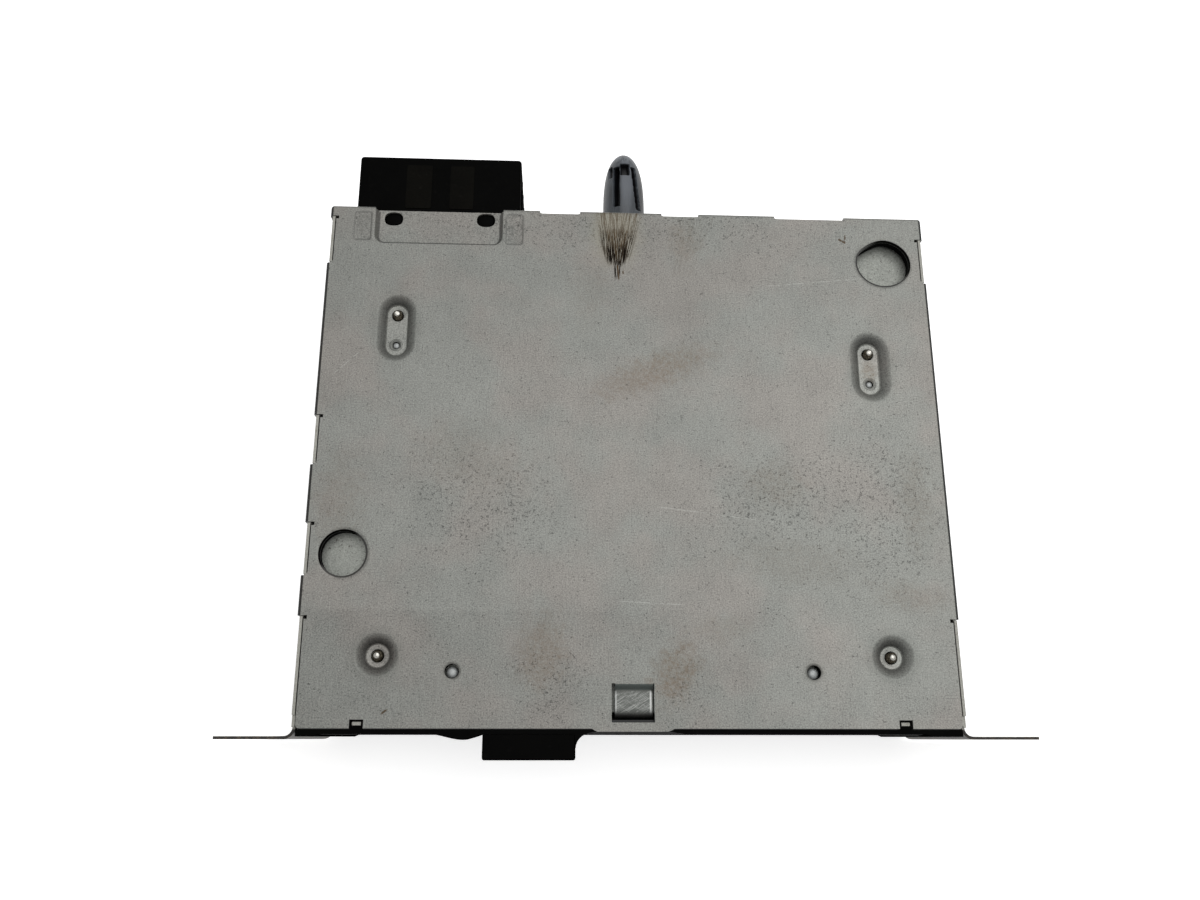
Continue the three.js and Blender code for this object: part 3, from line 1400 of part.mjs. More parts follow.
const wormHalf = wheelTeeth * wheelModule / 2 + wheelModule + gap;
const wormSpan = [wheelAxis[0] - wormHalf, wheelAxis[0] + wormHalf];
add('worm', cut(
  threaded('y', wormAxis, wormRoot, wormCrest - gap, wormPitch, wormSpan, wheelAxis[0]),
  rod('y', wormAxis, loadMotorShaft + gap, [wormSpan[0] - overrun, wormSpan[1] + overrun], smallSides),
), brassTone);

// Loading motor: a can with two flats, lying on the tray
function loadingMotor() {
  const from = wormSpan[1] + gap;
  const can = rod('y', wormAxis, loadMotorRadius, [from, from + loadMotorLength], fineSides);
  const flat = wormLevel - trayTop;
  const room = block([wormAxis[0] - loadMotorRadius, wormAxis[0] + loadMotorRadius],
    [from, from + loadMotorLength],
    [trayTop, wormLevel + flat]);
  const shaft = rod('y', wormAxis, loadMotorShaft, [wormSpan[0], from + gap], smallSides);
  return join(can.intersect(room), shaft);
}

add('loading_motor', loadingMotor(), darkSteel);

// Cam slide: sloped slots for the roller arm and the clamp arm, level slots for its guide studs
const clampSwing = clampDrop / (clampHinge - spindlePlace);
const rollerMove = [-(rollerFollower[1] - armPivot[1]) * rollerSwing,
  (rollerFollower[0] - armPivot[0]) * rollerSwing];
const clampMove = [(followerLevel - armPinLevel) * clampSwing, -(clampHinge - followerPlace) * clampSwing];

function slopedSlot(start, move, half) {
  return strap(start, half, [start[0] + camTravel + move[0], start[1] + move[1]], half);
}

function camSlide() {
  const slotHalfWidth = camPin + 2 * gap;
  const edge = slotHalfWidth + 2 * camPin;
  const clampSlotHalf = camPin + deckFloat + 2 * gap;
  const front = rollerFollower[0] - edge - slotHalfWidth;
  const rear = Math.max(followerPlace, camStuds[1]) + camTravel + clampSlotHalf + 2 * camPin;
  const mid = deckFront + camTravel * 2;
  const low = Math.min(rollerFollower[1] + rollerMove[1], frontStudLevel) - edge;
  const high = rollerFollower[1] + edge;
  const clampLow = followerLevel + clampMove[1] - clampSlotHalf - camPin;
  const outline = [
    [front, low], [mid, low], [mid + camTravel, clampLow], [rear, clampLow], [rear, camTop],
    [mid - camTravel, camTop], [mid - camTravel * 2, high], [front, high],
  ];
  const holes = [
    slopedSlot(rollerFollower, rollerMove, slotHalfWidth),
    slopedSlot([followerPlace, followerLevel], clampMove, clampSlotHalf),
    slopedSlot(camGuides[0], [0, 0], slotHalfWidth),
    slopedSlot(camGuides[1], [0, 0], slotHalfWidth),
  ];
  let cam = slab('x', outline, [-camOuter, -camInner]);
  for (const hole of holes) cam = cut(cam, slab('x', hole, [-camOuter - overrun, -camInner + overrun]));
  return cam;
}

add('cam_slide', camSlide(), steel);

player.position.set(0, -(overallFront + overallRear) / 2, 0);

export default player;
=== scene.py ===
import math

import bmesh
import bpy
import numpy as np
from mathutils import Matrix, Vector
from mathutils.geometry import delaunay_2d_cdt


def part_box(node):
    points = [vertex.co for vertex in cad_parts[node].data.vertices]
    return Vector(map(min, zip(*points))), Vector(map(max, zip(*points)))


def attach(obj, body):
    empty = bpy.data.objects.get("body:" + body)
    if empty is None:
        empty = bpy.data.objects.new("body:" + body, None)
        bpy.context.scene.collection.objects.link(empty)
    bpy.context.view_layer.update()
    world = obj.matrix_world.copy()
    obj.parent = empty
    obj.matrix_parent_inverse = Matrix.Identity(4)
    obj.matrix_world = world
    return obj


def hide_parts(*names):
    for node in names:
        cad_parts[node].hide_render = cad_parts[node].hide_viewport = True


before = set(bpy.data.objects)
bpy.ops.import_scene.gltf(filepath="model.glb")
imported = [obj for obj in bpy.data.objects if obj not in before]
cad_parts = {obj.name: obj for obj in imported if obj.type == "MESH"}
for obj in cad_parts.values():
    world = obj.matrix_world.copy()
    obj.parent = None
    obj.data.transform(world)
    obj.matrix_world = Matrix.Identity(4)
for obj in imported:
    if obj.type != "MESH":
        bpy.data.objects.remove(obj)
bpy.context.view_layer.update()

# A slot-loading car CD player in its sheet steel casing, lying cover up.
# Plate places: millimetres, X across, Y from the cover's front edge to the rear, Z from the underside.
# Only the seam, the weld's reach and the sizes of the stage are in metres.

MILLIMETRE = 0.001
FRONT_EDGE = -88.6
TURN = 2 * math.pi
SEAM = 0.00001

# Places that the cover's surface shares with its finish: centres, half sizes and radii

TOP = 51.995
SHEET = 0.8
RECESSES = [
    {"centre": (-67.69, 111.15), "top": 5.8, "floor": 2.85, "stretch": 4.8, "screw": 115.75, "sight": 106.6},
    {"centre": (70.01, 101.55), "top": 6.3, "floor": 2.85, "stretch": 4.8, "screw": 106.15, "sight": 96.95},
    {"centre": (-67.6, 18.5), "top": 5.95, "floor": 2.95, "stretch": 0.0, "screw": 18.5, "sight": None},
    {"centre": (70.0, 18.5), "top": 6.1, "floor": 2.9, "stretch": 0.0, "screw": 18.5, "sight": None},
]
PADS = [((-79.1, 143.35), (2.5, 4.65), 0.9), ((-34.4, 143.2), (2.6, 5.0), 0.9)]
PORTS = [((-78.15, 45.4), 6.1, 1.0, None), ((76.2, 134.75), 7.85, 0.93, (7.15, math.radians(122)))]
SIGHTS = [(-47.7, 14.45), (48.2, 14.4)]
PORT_SLOPE = 1.3
CATCHES = [(-70.5, 146.7), (-43.1, 146.9)]
NOTCHES = (-71.65, 71.95)

# Sizes that the peg's shape shares with its finish

PEG_LEVEL = 26.0
PEG_RADIUS = 6.75
PEG_SHOULDER = 160.0
PEG_NOSE = 25.25
PEG_OGIVE = 3.4


def placed(points):
    """Plate places to the frame's metres: Y moves by one fixed step, then everything shrinks to metres."""
    return (np.asarray(points, float) + np.array([0, FRONT_EDGE, 0])) * MILLIMETRE


def node_place(name):
    """The lowest and highest corner of a CAD node in plate places."""
    return [np.array(corner) / MILLIMETRE - [0, FRONT_EDGE, 0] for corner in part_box(name)]


# Shapes

class Skin:
    """Gathers patches of points and faces that together make one mesh."""

    def __init__(self):
        self.points = []
        self.faces = []
        self.count = 0

    def patch(self, points, faces):
        points = np.asarray(points, float).reshape(-1, 3)
        self.points.append(points)
        self.faces += (np.asarray(faces) + self.count).tolist()
        self.count += len(points)

    def piece(self, name, finish, slot, replaces=None, wall=0.0, bevel=0.0, sharp=35.0):
        """One piece on the casing: seams merged, faces outwards, a wall and rounded edges if asked for."""
        mesh = bpy.data.meshes.new(name)
        mesh.from_pydata(placed(np.concatenate(self.points)).tolist(), [], self.faces)
        work = bmesh.new()
        work.from_mesh(mesh)
        bmesh.ops.remove_doubles(work, verts=work.verts, dist=SEAM)
        bmesh.ops.recalc_face_normals(work, faces=work.faces)
        if wall and sum(face.normal.z * face.calc_area() for face in work.faces) < 0:
            bmesh.ops.reverse_faces(work, faces=work.faces)
        work.to_mesh(mesh)
        work.free()
        piece = linked(name, mesh)
        if wall:
            solid = piece.modifiers.new("wall", "SOLIDIFY")
            solid.thickness = wall * MILLIMETRE
            solid.offset = -1
            solid.use_even_offset = True
        if bevel:
            rounded_edges(piece, bevel)
        finish_shape(piece, sharp)
        piece.data.materials.append(MATERIALS[finish])
        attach(piece, "player_casing")
        if replaces:
            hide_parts(replaces)


def linked(name, data):
    """A new object in the scene for a mesh, a lamp or a camera."""
    made = bpy.data.objects.new(name, data)
    bpy.context.scene.collection.objects.link(made)
    return made


def rounded_edges(piece, width):
    """Rounds the edges sharper than an angle by a width in millimetres."""
    bevel = piece.modifiers.new("edge", "BEVEL")
    bevel.width = width * MILLIMETRE
    bevel.segments = 2
    bevel.limit_method = "ANGLE"
    bevel.angle_limit = math.radians(38)


def finish_shape(piece, sharp):
    """Puts the modifiers' result into the mesh and shades it smooth, but for edges sharper than an angle."""
    if piece.modifiers:
        shaped = piece.evaluated_get(bpy.context.evaluated_depsgraph_get())
        mesh = bpy.data.meshes.new_from_object(shaped)
        piece.modifiers.clear()
        piece.data = mesh
    piece.data.shade_smooth()
    piece.data.set_sharp_from_angle(angle=math.radians(sharp))
    flat_first(piece)


def flat_first(piece):
    """Large faces give their own direction to their corners, so that flat sheet shades flat to its edges."""
    normals = piece.modifiers.new("flat faces first", "WEIGHTED_NORMAL")
    normals.keep_sharp = True
    normals.weight = 100


def grid_faces(rows, columns, closed=False):
    """Quads of a grid of rows by columns; the last column joins the first where it is closed."""
    index = np.arange(rows * columns).reshape(rows, columns)
    if closed:
        index = np.concatenate([index, index[:, :1]], axis=1)
    return np.stack([index[:-1, :-1], index[:-1, 1:], index[1:, 1:], index[1:, :-1]], axis=-1).reshape(-1, 4)


def lofted(skin, rows, closed=True):
    """A surface through a stack of lines with equal counts: an array of lines by points by three."""
    rows = np.asarray(rows, float)
    skin.patch(rows, grid_faces(rows.shape[0], rows.shape[1], closed))


def lift(outline, at, axis="z"):
    """A flat outline set across an axis at one place along it."""
    outline = np.asarray(outline, float)
    flat = np.full(len(outline), float(at))
    u, v = outline.T
    return np.column_stack({"y": (u, flat, v), "z": (u, v, flat)}[axis])


def oblong(centre, half, stretch=0.0, count=72):
    """A circle cut across its middle and drawn apart along its second axis by the stretch."""
    angle = (np.arange(count) + 0.5) / count * TURN
    side = np.sign(np.sin(angle))
    along = centre[1] + half * np.sin(angle) + side * stretch
    return np.column_stack([centre[0] + half * np.cos(angle), along])


def rounded_oval(centre, half_width, half_depth, count=40):
    """A squared oval: each coordinate is the half size times a root of the sine or cosine."""
    angle = (np.arange(count) + 0.5) / count * TURN
    u, v = (np.sign(wave) * np.abs(wave) ** 0.8 for wave in (np.cos(angle), np.sin(angle)))
    return np.column_stack([centre[0] + half_width * u, centre[1] + half_depth * v])


def port_loop(centre, radius, squash=1.0, chord=None, count=96):
    """An oval, flattened at a chord's distance and direction: radii combine as a root of inverse powers."""
    angle = (np.arange(count) + 0.5) / count * TURN
    reach = np.full(count, float(radius))
    if chord:
        distance, heading = chord
        facing = np.maximum(np.cos(angle - heading), 1e-3)
        reach = (reach ** -14 + (distance / facing) ** -14) ** (-1 / 14)
    return np.column_stack([centre[0] + reach * np.cos(angle), centre[1] + squash * reach * np.sin(angle)])


def rounded_box(x0, x1, y0, y1, radius, count=6):
    """A rectangle with quarter circle corners, anticlockwise from its right end."""
    corner = np.linspace(0, math.pi / 2, count)
    middles = [(x1 - radius, y1 - radius), (x0 + radius, y1 - radius),
               (x0 + radius, y0 + radius), (x1 - radius, y0 + radius)]
    return np.concatenate([
        np.column_stack([x + radius * np.cos(corner + quarter * math.pi / 2),
                         y + radius * np.sin(corner + quarter * math.pi / 2)])
        for quarter, (x, y) in enumerate(middles)
    ])


def inset_box(box, inset, radius):
    """A rounded rectangle moved in on all four sides."""
    x0, x1, y0, y1 = box
    return rounded_box(x0 + inset, x1 - inset, y0 + inset, y1 - inset, radius)


def box_round(centre, halves):
    """The four sides of a rectangle from its centre and half sizes."""
    return centre[0] - halves[0], centre[0] + halves[0], centre[1] - halves[1], centre[1] + halves[1]


def inside(points, loop):
    """Which points lie in a loop: an odd number of its edges cross the line to the right of the point."""
    a, b = loop, np.roll(loop, -1, axis=0)
    x, y = points[:, :1], points[:, 1:]
    spans = (a[:, 1] > y) != (b[:, 1] > y)
    with np.errstate(divide="ignore", invalid="ignore"):
        crossing = a[:, 0] + (y - a[:, 1]) * (b[:, 0] - a[:, 0]) / (b[:, 1] - a[:, 1])
    return (spans & (x < crossing)).sum(axis=1) % 2 == 1


def fill(skin, outer, holes=(), at=0.0, axis="z"):
    """A flat region between an outer loop and its holes, cut into well shaped triangles."""
    loops = [np.asarray(loop, float) for loop in (outer, *holes)]
    starts = np.cumsum([0] + [len(loop) for loop in loops[:-1]])
    edges = np.concatenate([
        np.column_stack([np.arange(len(loop)), (np.arange(len(loop)) + 1) % len(loop)]) + start
        for loop, start in zip(loops, starts)
    ])
    corners = [Vector(pair) for pair in np.concatenate(loops).tolist()]
    made, _, faces, _, _, _ = delaunay_2d_cdt(corners, edges.tolist(), [], 0, 1e-7)
    made = np.array([tuple(pair) for pair in made])
    faces = np.array([face for face in faces if len(face) == 3])
    middle = made[faces].mean(axis=1)
    kept = inside(middle, loops[0])
    for hole in loops[1:]:
        kept &= ~inside(middle, hole)
    skin.patch(lift(made, at, axis), faces[kept])


def drawn_out(skin, outer, span, axis="z", holes=()):
    """A flat outline with holes carried straight along an axis and closed at both ends."""
    for at in span:
        fill(skin, outer, holes, at, axis)
    for loop in (outer, *holes):
        lofted(skin, [lift(loop, at, axis) for at in span])


def pressed(skin, outer, inner, top, bottom, steps, closed=True, wave=math.pi):
    """The slope between two loops: places run evenly across it, depth follows a part of a cosine wave."""
    share = np.linspace(0, 1, steps + 1)[:, None, None]
    flat = np.asarray(outer)[None] * (1 - share) + np.asarray(inner)[None] * share
    depth = top + (bottom - top) * (1 - np.cos(wave * share)) / (1 - math.cos(wave))
    depth = np.broadcast_to(depth, (*flat.shape[:2], 1))
    lofted(skin, np.concatenate([flat, depth], axis=2), closed)


def spun(skin, profile, centre, count):
    """A profile of heights and radii turned about an upright line."""
    angle = np.arange(count) / count * TURN
    height, radius = np.asarray(profile, float).T[..., None]
    rows = [centre[0] + radius * np.cos(angle), centre[1] + radius * np.sin(angle), height + 0 * angle]
    lofted(skin, np.stack(rows, axis=2))


# Node wiring

class Signal:
    """One output of a node; sums, differences and products of signals place the nodes that work them out."""

    def __init__(self, wiring, socket):
        self.wiring = wiring
        self.socket = socket

    def __add__(self, other):
        return self.wiring.calc("ADD", self, other)

    def __sub__(self, other):
        return self.wiring.calc("SUBTRACT", self, other)

    def __rsub__(self, other):
        return self.wiring.calc("SUBTRACT", other, self)

    def __mul__(self, other):
        return self.wiring.calc("MULTIPLY", self, other)

    def __truediv__(self, other):
        return self.wiring.calc("DIVIDE", self, other)

    def __abs__(self):
        return self.wiring.calc("ABSOLUTE", self)


class Wiring:
    """Places nodes in one tree; a plain value or a signal may feed any input."""

    def __init__(self, tree):
        self.tree = tree

    def feed(self, socket, value):
        if isinstance(value, Signal):
            self.tree.links.new(value.socket, socket)
        else:
            socket.default_value = value

    def node(self, kind, feeds=None, **settings):
        """Adds a node and gives its outputs as signals, by number and by name."""
        made = self.tree.nodes.new(kind)
        for name, value in settings.items():
            setattr(made, name, value)
        for name, value in (feeds or {}).items():
            self.feed(made.inputs[name], value)
        outputs = {}
        for number, socket in enumerate(made.outputs):
            outputs[number] = outputs[socket.name] = Signal(self, socket)
        return outputs

    def calc(self, operation, a, b=0.0, clamp=False):
        return self.node("ShaderNodeMath", {0: a, 1: b}, operation=operation, use_clamp=clamp)[0]

    def most(self, *values):
        """The highest of several values."""
        highest = values[0]
        for value in values[1:]:
            highest = self.calc("MAXIMUM", highest, value)
        return highest

    def limited(self, value):
        """A value held between nought and one."""
        return self.calc("MINIMUM", self.calc("MAXIMUM", value, 0.0), 1.0)

    def ramp(self, value, low, high, to_low=0.0, to_high=1.0):
        """A smooth step between two values."""
        feeds = {"Value": value, "From Min": low, "From Max": high, "To Min": to_low, "To Max": to_high}
        return self.node("ShaderNodeMapRange", feeds, interpolation_type="SMOOTHSTEP")["Result"]

    def vector(self, operation, a, b=(0, 0, 0), result="Vector"):
        return self.node("ShaderNodeVectorMath", {0: a, 1: b}, operation=operation)[result]

    def scaled(self, vector, share):
        """A vector made longer or shorter, or a colour made lighter or darker, by a share."""
        return self.node("ShaderNodeVectorMath", {0: vector, "Scale": share}, operation="SCALE")[0]

    def dimmed(self, colour, share):
        """A colour with a share of it taken away."""
        return self.scaled(colour, 1.0 - share)

    def split(self, place):
        """A vector's X, Y and Z."""
        parts = self.node("ShaderNodeSeparateXYZ", {0: place})
        return parts[0], parts[1], parts[2]

    def combined(self, x, y=0.0):
        return self.node("ShaderNodeCombineXYZ", {0: x, 1: y})[0]

    def blend(self, factor, first, second):
        """From one colour to another; a plain colour has three channels."""
        first, second = ((*colour, 1) if isinstance(colour, tuple) else colour for colour in (first, second))
        return self.node("ShaderNodeMix", {0: factor, 6: first, 7: second}, data_type="RGBA")[2]

    def noise(self, where, scale, detail=2.0, rough=0.5):
        feeds = {"Vector": where, "Scale": scale, "Detail": detail, "Roughness": rough}
        return self.node("ShaderNodeTexNoise", feeds)[0]

    def stretched(self, where, scale):
        return self.node("ShaderNodeMapping", {"Vector": where, "Scale": scale})[0]


def effect(build, vectors, floats):
    """A node group named after a function, which turns its inputs into its outputs, all of them numbers."""
    tree = bpy.data.node_groups.new(build.__name__.replace("_", " "), "ShaderNodeTree")
    for labels, kind in ((vectors, "NodeSocketVector"), (floats, "NodeSocketFloat")):
        for label in labels:
            tree.interface.new_socket(label, in_out="INPUT", socket_type=kind)
    wiring = Wiring(tree)
    results = build(wiring, wiring.node("NodeGroupInput"))
    for label in results:
        tree.interface.new_socket(label, in_out="OUTPUT", socket_type="NodeSocketFloat")
    sink = tree.nodes.new("NodeGroupOutput").inputs
    for label, result in results.items():
        wiring.feed(sink[label], result)
    return tree


def sheet_grain(w, given):
    """Rolled and zinc coated sheet: a fine grain along Y, cloudy tone and dark specks, in millimetres."""
    place = given["Position"]
    rolled = w.noise(w.stretched(place, (2.6, 0.22, 2.6)), 1.0, 3.0, 0.6)
    fine = w.noise(place, 2.5, 3.0, 0.7)
    cloud = w.noise(place, 0.09, 3.0, 0.6)
    least = 0.612 - given["Speck share"] * 0.057
    specks = w.ramp(w.noise(place, 1.3, 3.0, 0.75), least, least + 0.08)
    return {"Tone": rolled * 0.14 + fine * 0.73 + cloud * 0.13, "Specks": specks, "Height": fine - specks}


def stain_patch(w, given):
    """A soft oval patch with a ragged edge: one at its centre, nothing past its reach."""
    place = given["Position"]
    away = w.vector("MULTIPLY", w.vector("SUBTRACT", place, given["Centre"]), (1, 1, 0))
    feeds = {"Vector": away, "Angle": given["Turn"]}
    turned = w.node("ShaderNodeVectorRotate", feeds, rotation_type="Z_AXIS")[0]
    far = w.vector("LENGTH", w.vector("DIVIDE", turned, given["Reach"]), result="Value")
    rag = (w.noise(place, 0.35, 4.0, 0.7) - 0.5) * given["Ragged"]
    return {"Mask": w.ramp(far + rag, 1.0, 0.25)}


def hair_streaks(w, given):
    """Run-down streaks: hairs across a band that narrows from its top to its foot and fades at both sides."""
    x, y, _ = w.split(given["Position"])
    top_x, top_y, _ = w.split(given["Top"])
    foot_x, foot_y, _ = w.split(given["Foot"])
    down = (top_y - y) / (top_y - foot_y)
    inner = w.limited(down)
    half = given["Top half"] + inner * (given["Foot half"] - given["Top half"])
    across = (x - top_x - inner * (foot_x - top_x)) / half
    low_down = w.ramp(down, 0.25, 0.6)
    least = 0.51 - low_down * 0.05
    spot = w.combined(across * given["Hairs"], down * 2.0)
    hair = w.ramp(w.noise(spot, 1.0, 3.0, 0.7), least, least + 0.03)
    ends = w.noise(w.combined(across * 7.0), 1.0)
    low = w.ramp(down + ends * 0.5, 1.28, 1.05)
    cover = w.ramp(abs(across), 1.05, 0.65) * low * w.ramp(down, -0.02, 0.03)
    mask = w.calc("MULTIPLY", cover * hair, 1.5, clamp=True)
    return {"Mask": mask, "Core": mask * low_down}


def straight_scratch(w, given):
    """A thin broken line between two places: one on the line, nothing past its half width."""
    run = w.vector("SUBTRACT", given["End"], given["Start"])
    away = w.vector("MULTIPLY", w.vector("SUBTRACT", given["Position"], given["Start"]), (1, 1, 0))
    reach, whole = (w.vector("DOT_PRODUCT", line, run, "Value") for line in (away, run))
    gap = w.vector("DISTANCE", away, w.scaled(run, w.limited(reach / whole)), "Value")
    broken = w.ramp(w.noise(given["Position"], 0.8), 0.35, 0.55)
    return {"Mask": w.ramp(gap, given["Half width"], 0.0) * broken}


def rounded_distance(w, given):
    """The distance from a rounded rectangle's outline, in millimetres: below nought inside it."""
    radius = given["Radius"]
    away = w.vector("ABSOLUTE", w.vector("SUBTRACT", given["Position"], given["Centre"]))
    core = w.vector("SUBTRACT", given["Halves"], w.combined(radius, radius))
    over_x, over_y, _ = w.split(w.vector("SUBTRACT", away, core))
    outside = w.vector("LENGTH", w.combined(w.most(over_x, 0.0), w.most(over_y, 0.0)), result="Value")
    return {"Distance": outside + w.calc("MINIMUM", w.most(over_x, over_y), 0.0) - radius}


def moulded_skin(w, given):
    """Moulded plastic: a fine even texture with slow tone changes and a little dust."""
    place = given["Position"]
    fine = w.noise(place, given["Fineness"], 2.0, 0.6)
    tone = fine * 0.5 + w.noise(place, 0.12, 3.0, 0.6) * 0.5
    return {"Tone": tone, "Dust": w.ramp(w.noise(place, 0.7, 5.0, 0.75), 0.56, 0.74), "Height": fine}


GRAIN = effect(sheet_grain, ["Position"], ["Speck share"])
STAIN = effect(stain_patch, ["Position", "Centre", "Reach"], ["Turn", "Ragged"])
STREAKS = effect(hair_streaks, ["Position", "Top", "Foot"], ["Top half", "Foot half", "Hairs"])
SCRATCH = effect(straight_scratch, ["Position", "Start", "End"], ["Half width"])
ROUNDED = effect(rounded_distance, ["Position", "Centre", "Halves"], ["Radius"])
SKIN = effect(moulded_skin, ["Position"], ["Fineness"])


class Finish(Wiring):
    """A new material: its wiring, its shader's sockets, and the place on the object in plate millimetres."""

    def __init__(self, name, metallic=0.0, roughness=0.5, **sockets):
        self.material = bpy.data.materials.new(name)
        self.material.use_nodes = True
        super().__init__(self.material.node_tree)
        self.shader = self.tree.nodes["Principled BSDF"].inputs
        for label, value in {"Metallic": metallic, "Roughness": roughness, **sockets}.items():
            self.shader[label.replace("_", " ")].default_value = value
        spot = self.node("ShaderNodeTexCoord")
        self.normal = spot["Normal"]
        feeds = {"Vector": spot["Object"], "Location": (0, -FRONT_EDGE, 0), "Scale": (1 / MILLIMETRE,) * 3}
        self.place = self.node("ShaderNodeMapping", feeds)[0]
        self.x, self.y, self.z = self.split(self.place)

    def use(self, tree, feeds):
        """Places a node group at this material's own place on the object."""
        return self.node("ShaderNodeGroup", {"Position": self.place, **feeds}, node_tree=tree)

    def stain(self, centre, reach, turn=0.0, ragged=0.25):
        feeds = {"Centre": (*centre, 0), "Reach": (*reach, 1), "Turn": turn, "Ragged": ragged}
        return self.use(STAIN, feeds)["Mask"]

    def scratch(self, start, end, half_width):
        return self.use(SCRATCH, {"Start": (*start, 0), "End": (*end, 0), "Half width": half_width})["Mask"]

    def edge_distance(self, centre, halves, radius):
        feeds = {"Centre": (*centre, 0), "Halves": (*halves, 0), "Radius": radius}
        return self.use(ROUNDED, feeds)["Distance"]

    def done(self, colour, roughness=None, height=None, relief=0.02, strength=0.4):
        """Joins a colour, a roughness and a relief to the shader; the relief is a depth in millimetres."""
        self.feed(self.shader["Base Color"], colour)
        if roughness is not None:
            self.feed(self.shader["Roughness"], roughness)
        if height is not None:
            feeds = {"Strength": strength, "Distance": relief * MILLIMETRE, "Height": height}
            self.feed(self.shader["Normal"], self.node("ShaderNodeBump", feeds)[0])
        return self.material


# Finish of the cover
# Zones, stains and halos: centre, reach, turn in radians, weight.
# Marks and scratches: start, end, half width.
# Streaks: top, foot, half widths at both, hairs across, weights of the brown and of the black hairs.
# Painted shade lines: centre, half sizes and corner radius of a rectangle, the line's distance from it,
# reach, weight.

SPECK_ZONES = [
    ((-42, 60), (34, 24), 0.3), ((42, 62), (38, 20), -0.25), ((14, 11), (11, 13), 0.0),
    ((-22, 12), (13, 16), 0.0), ((70, 60), (24, 34), 0.0), ((2, 146), (90, 14), 0.0),
]
BROWN_STAINS = [
    ((-24, 19), (9, 13), 0.2, 0.55), ((11, 14), (8, 12), 0.5, 0.75), ((7, 99), (24, 7.5), -0.38, 0.62),
    ((16, 141), (7, 9), 0.2, 0.3), ((-12, 125), (8, 20), 0.1, 0.15), ((40, 66), (12, 9), 0.0, 0.3),
    ((80, 62), (7, 20), 0.0, 0.3), ((70, 100.5), (3.4, 5), 0.0, 0.55), ((-45, 72), (22, 14), 0.4, 0.2),
    ((45, 44), (26, 9), 0.1, 0.2), ((24, 26), (12, 5), 0.0, 0.22), ((76, 35), (14, 6), 0.1, 0.3),
    ((-80, 60), (9, 20), 0.0, 0.25),
]
STREAK_BANDS = [
    ((-3.3, 151.0), (-4.0, 133.5), (7.9, 3.9), 25.0, 0.88, 0.8),
    ((-3.7, 144.0), (-4.2, 132.0), (4.0, 2.8), 12.0, 0.8, 1.0),
    ((-3.4, 139.5), (-3.9, 127.5), (1.7, 0.8), 3.5, 0.6, 1.0),
    ((20.5, 149.0), (15.0, 128.0), (6.0, 3.0), 7.0, 0.12, 0.0),
]
DARK_MARKS = [
    ((63.2, 142.3), (64.9, 141.3), 0.5), ((65.3, 144.4), (64.9, 141.3), 0.35),
    ((-65.4, 3.6), (-64.0, 4.7), 0.4), ((-3.7, 132), (-3.3, 126.6), 0.35), ((-2.2, 131), (-2.1, 129.6), 0.35),
]
BRIGHT_SCRATCHES = [
    ((41, 126.5), (74, 130), 0.22), ((8, 59), (40, 55), 0.2), ((-3.9, 33), (13, 32.2), 0.2),
    ((-84, 97), (-78, 103), 0.2), ((-4, 8.6), (2.5, 4.4), 0.12), ((-2.4, 8.9), (4.6, 4.9), 0.1),
    ((-4.4, 6.6), (-1, 4.2), 0.1), ((0.4, 8.2), (4.8, 6.0), 0.1), ((30, 62), (36, 61), 0.14),
]
HALO_WIDTH = 3.2
HOLE_HALOS = [(PORTS[0][0], 8.4), (PORTS[1][0], 10.2), (SIGHTS[0], 3.3), (SIGHTS[1], 3.6)]
# Painted shade: a dark line at the foot of the tab's step and round the edges of the pads
TAB_SHADE_LINE = ((-56.8, 153.8), (19.0, 16.0), 3.0, -1.05, 0.34, 0.62)
PAD_SHADE_LINE = (0.0, 0.35, 0.28)
STAIN_BROWN = (0.115, 0.085, 0.058)
BLOOM_BEIGE = (0.2, 0.178, 0.128)
HAIR_BROWN = (0.06, 0.043, 0.024)
HAIR_BLACK = (0.004, 0.003, 0.002)
MARK_BROWN = (0.05, 0.033, 0.018)
SCRATCH_PALE = (0.5, 0.51, 0.48)
RECESS_GREY = (0.082, 0.09, 0.08)
HOLE_GREY = (0.08, 0.078, 0.068)


def sheet_tone_and_painted_light(w, grain, crowd):
    """Greenish and brownish grey in slow clouds, darker at the rear and front left, and paler on the right as
    painted light.
    """
    patchy = w.ramp(w.noise(w.place, 0.035, 3.0, 0.6), 0.38, 0.62)
    colour = w.blend(patchy, (0.187, 0.191, 0.176), (0.198, 0.189, 0.173))
    # Painted light: the sheet is made paler towards the right; it is also darker towards the rear.
    colour = w.scaled(colour, w.ramp(w.x, 10.0, 75.0, 0.96, 1.1) * w.ramp(w.y, 95.0, 125.0, 1.0, 0.93))
    ahead = w.ramp(w.y + w.noise(w.place, 0.3), 31.5, 30.0)
    share = grain["Tone"] * 2.9 - 0.45 - grain["Specks"] * 0.5 - crowd * 0.02
    return w.scaled(colour, share + ahead * w.ramp(w.x, -60.0, 80.0, -0.1, 0.02))


def stained(w, colour):
    """Brown stains with broken edges, and a beige bloom round the streaks."""
    broken = w.ramp(w.noise(w.place, 0.9, 4.0, 0.75), 0.36, 0.68, 0.3, 1.0)
    for centre, reach, turn, weight in BROWN_STAINS:
        colour = w.blend(w.stain(centre, reach, turn, 1.3) * broken * weight, colour, STAIN_BROWN)
    return w.blend(w.stain((-4.3, 144), (10.5, 17), ragged=0.5) * 0.5, colour, BLOOM_BEIGE)


def streaked(w, colour, deep):
    """Run-down streaks, fainter on the skirt: brown hairs, and black ones low down, whose mask comes too."""
    above = w.ramp(deep, 6.0, 1.5, 0.15, 1.0)
    black = []
    for top, foot, halves, count, brown_weight, black_weight in STREAK_BANDS:
        hairs = w.use(STREAKS, {"Top": (*top, 0), "Foot": (*foot, 0), "Top half": halves[0],
                                "Foot half": halves[1], "Hairs": count})
        black.append(hairs["Core"] * black_weight)
        colour = w.blend(hairs["Mask"] * above * brown_weight, colour, HAIR_BROWN)
        colour = w.blend(black[-1], colour, HAIR_BLACK)
    return colour, w.most(*black)


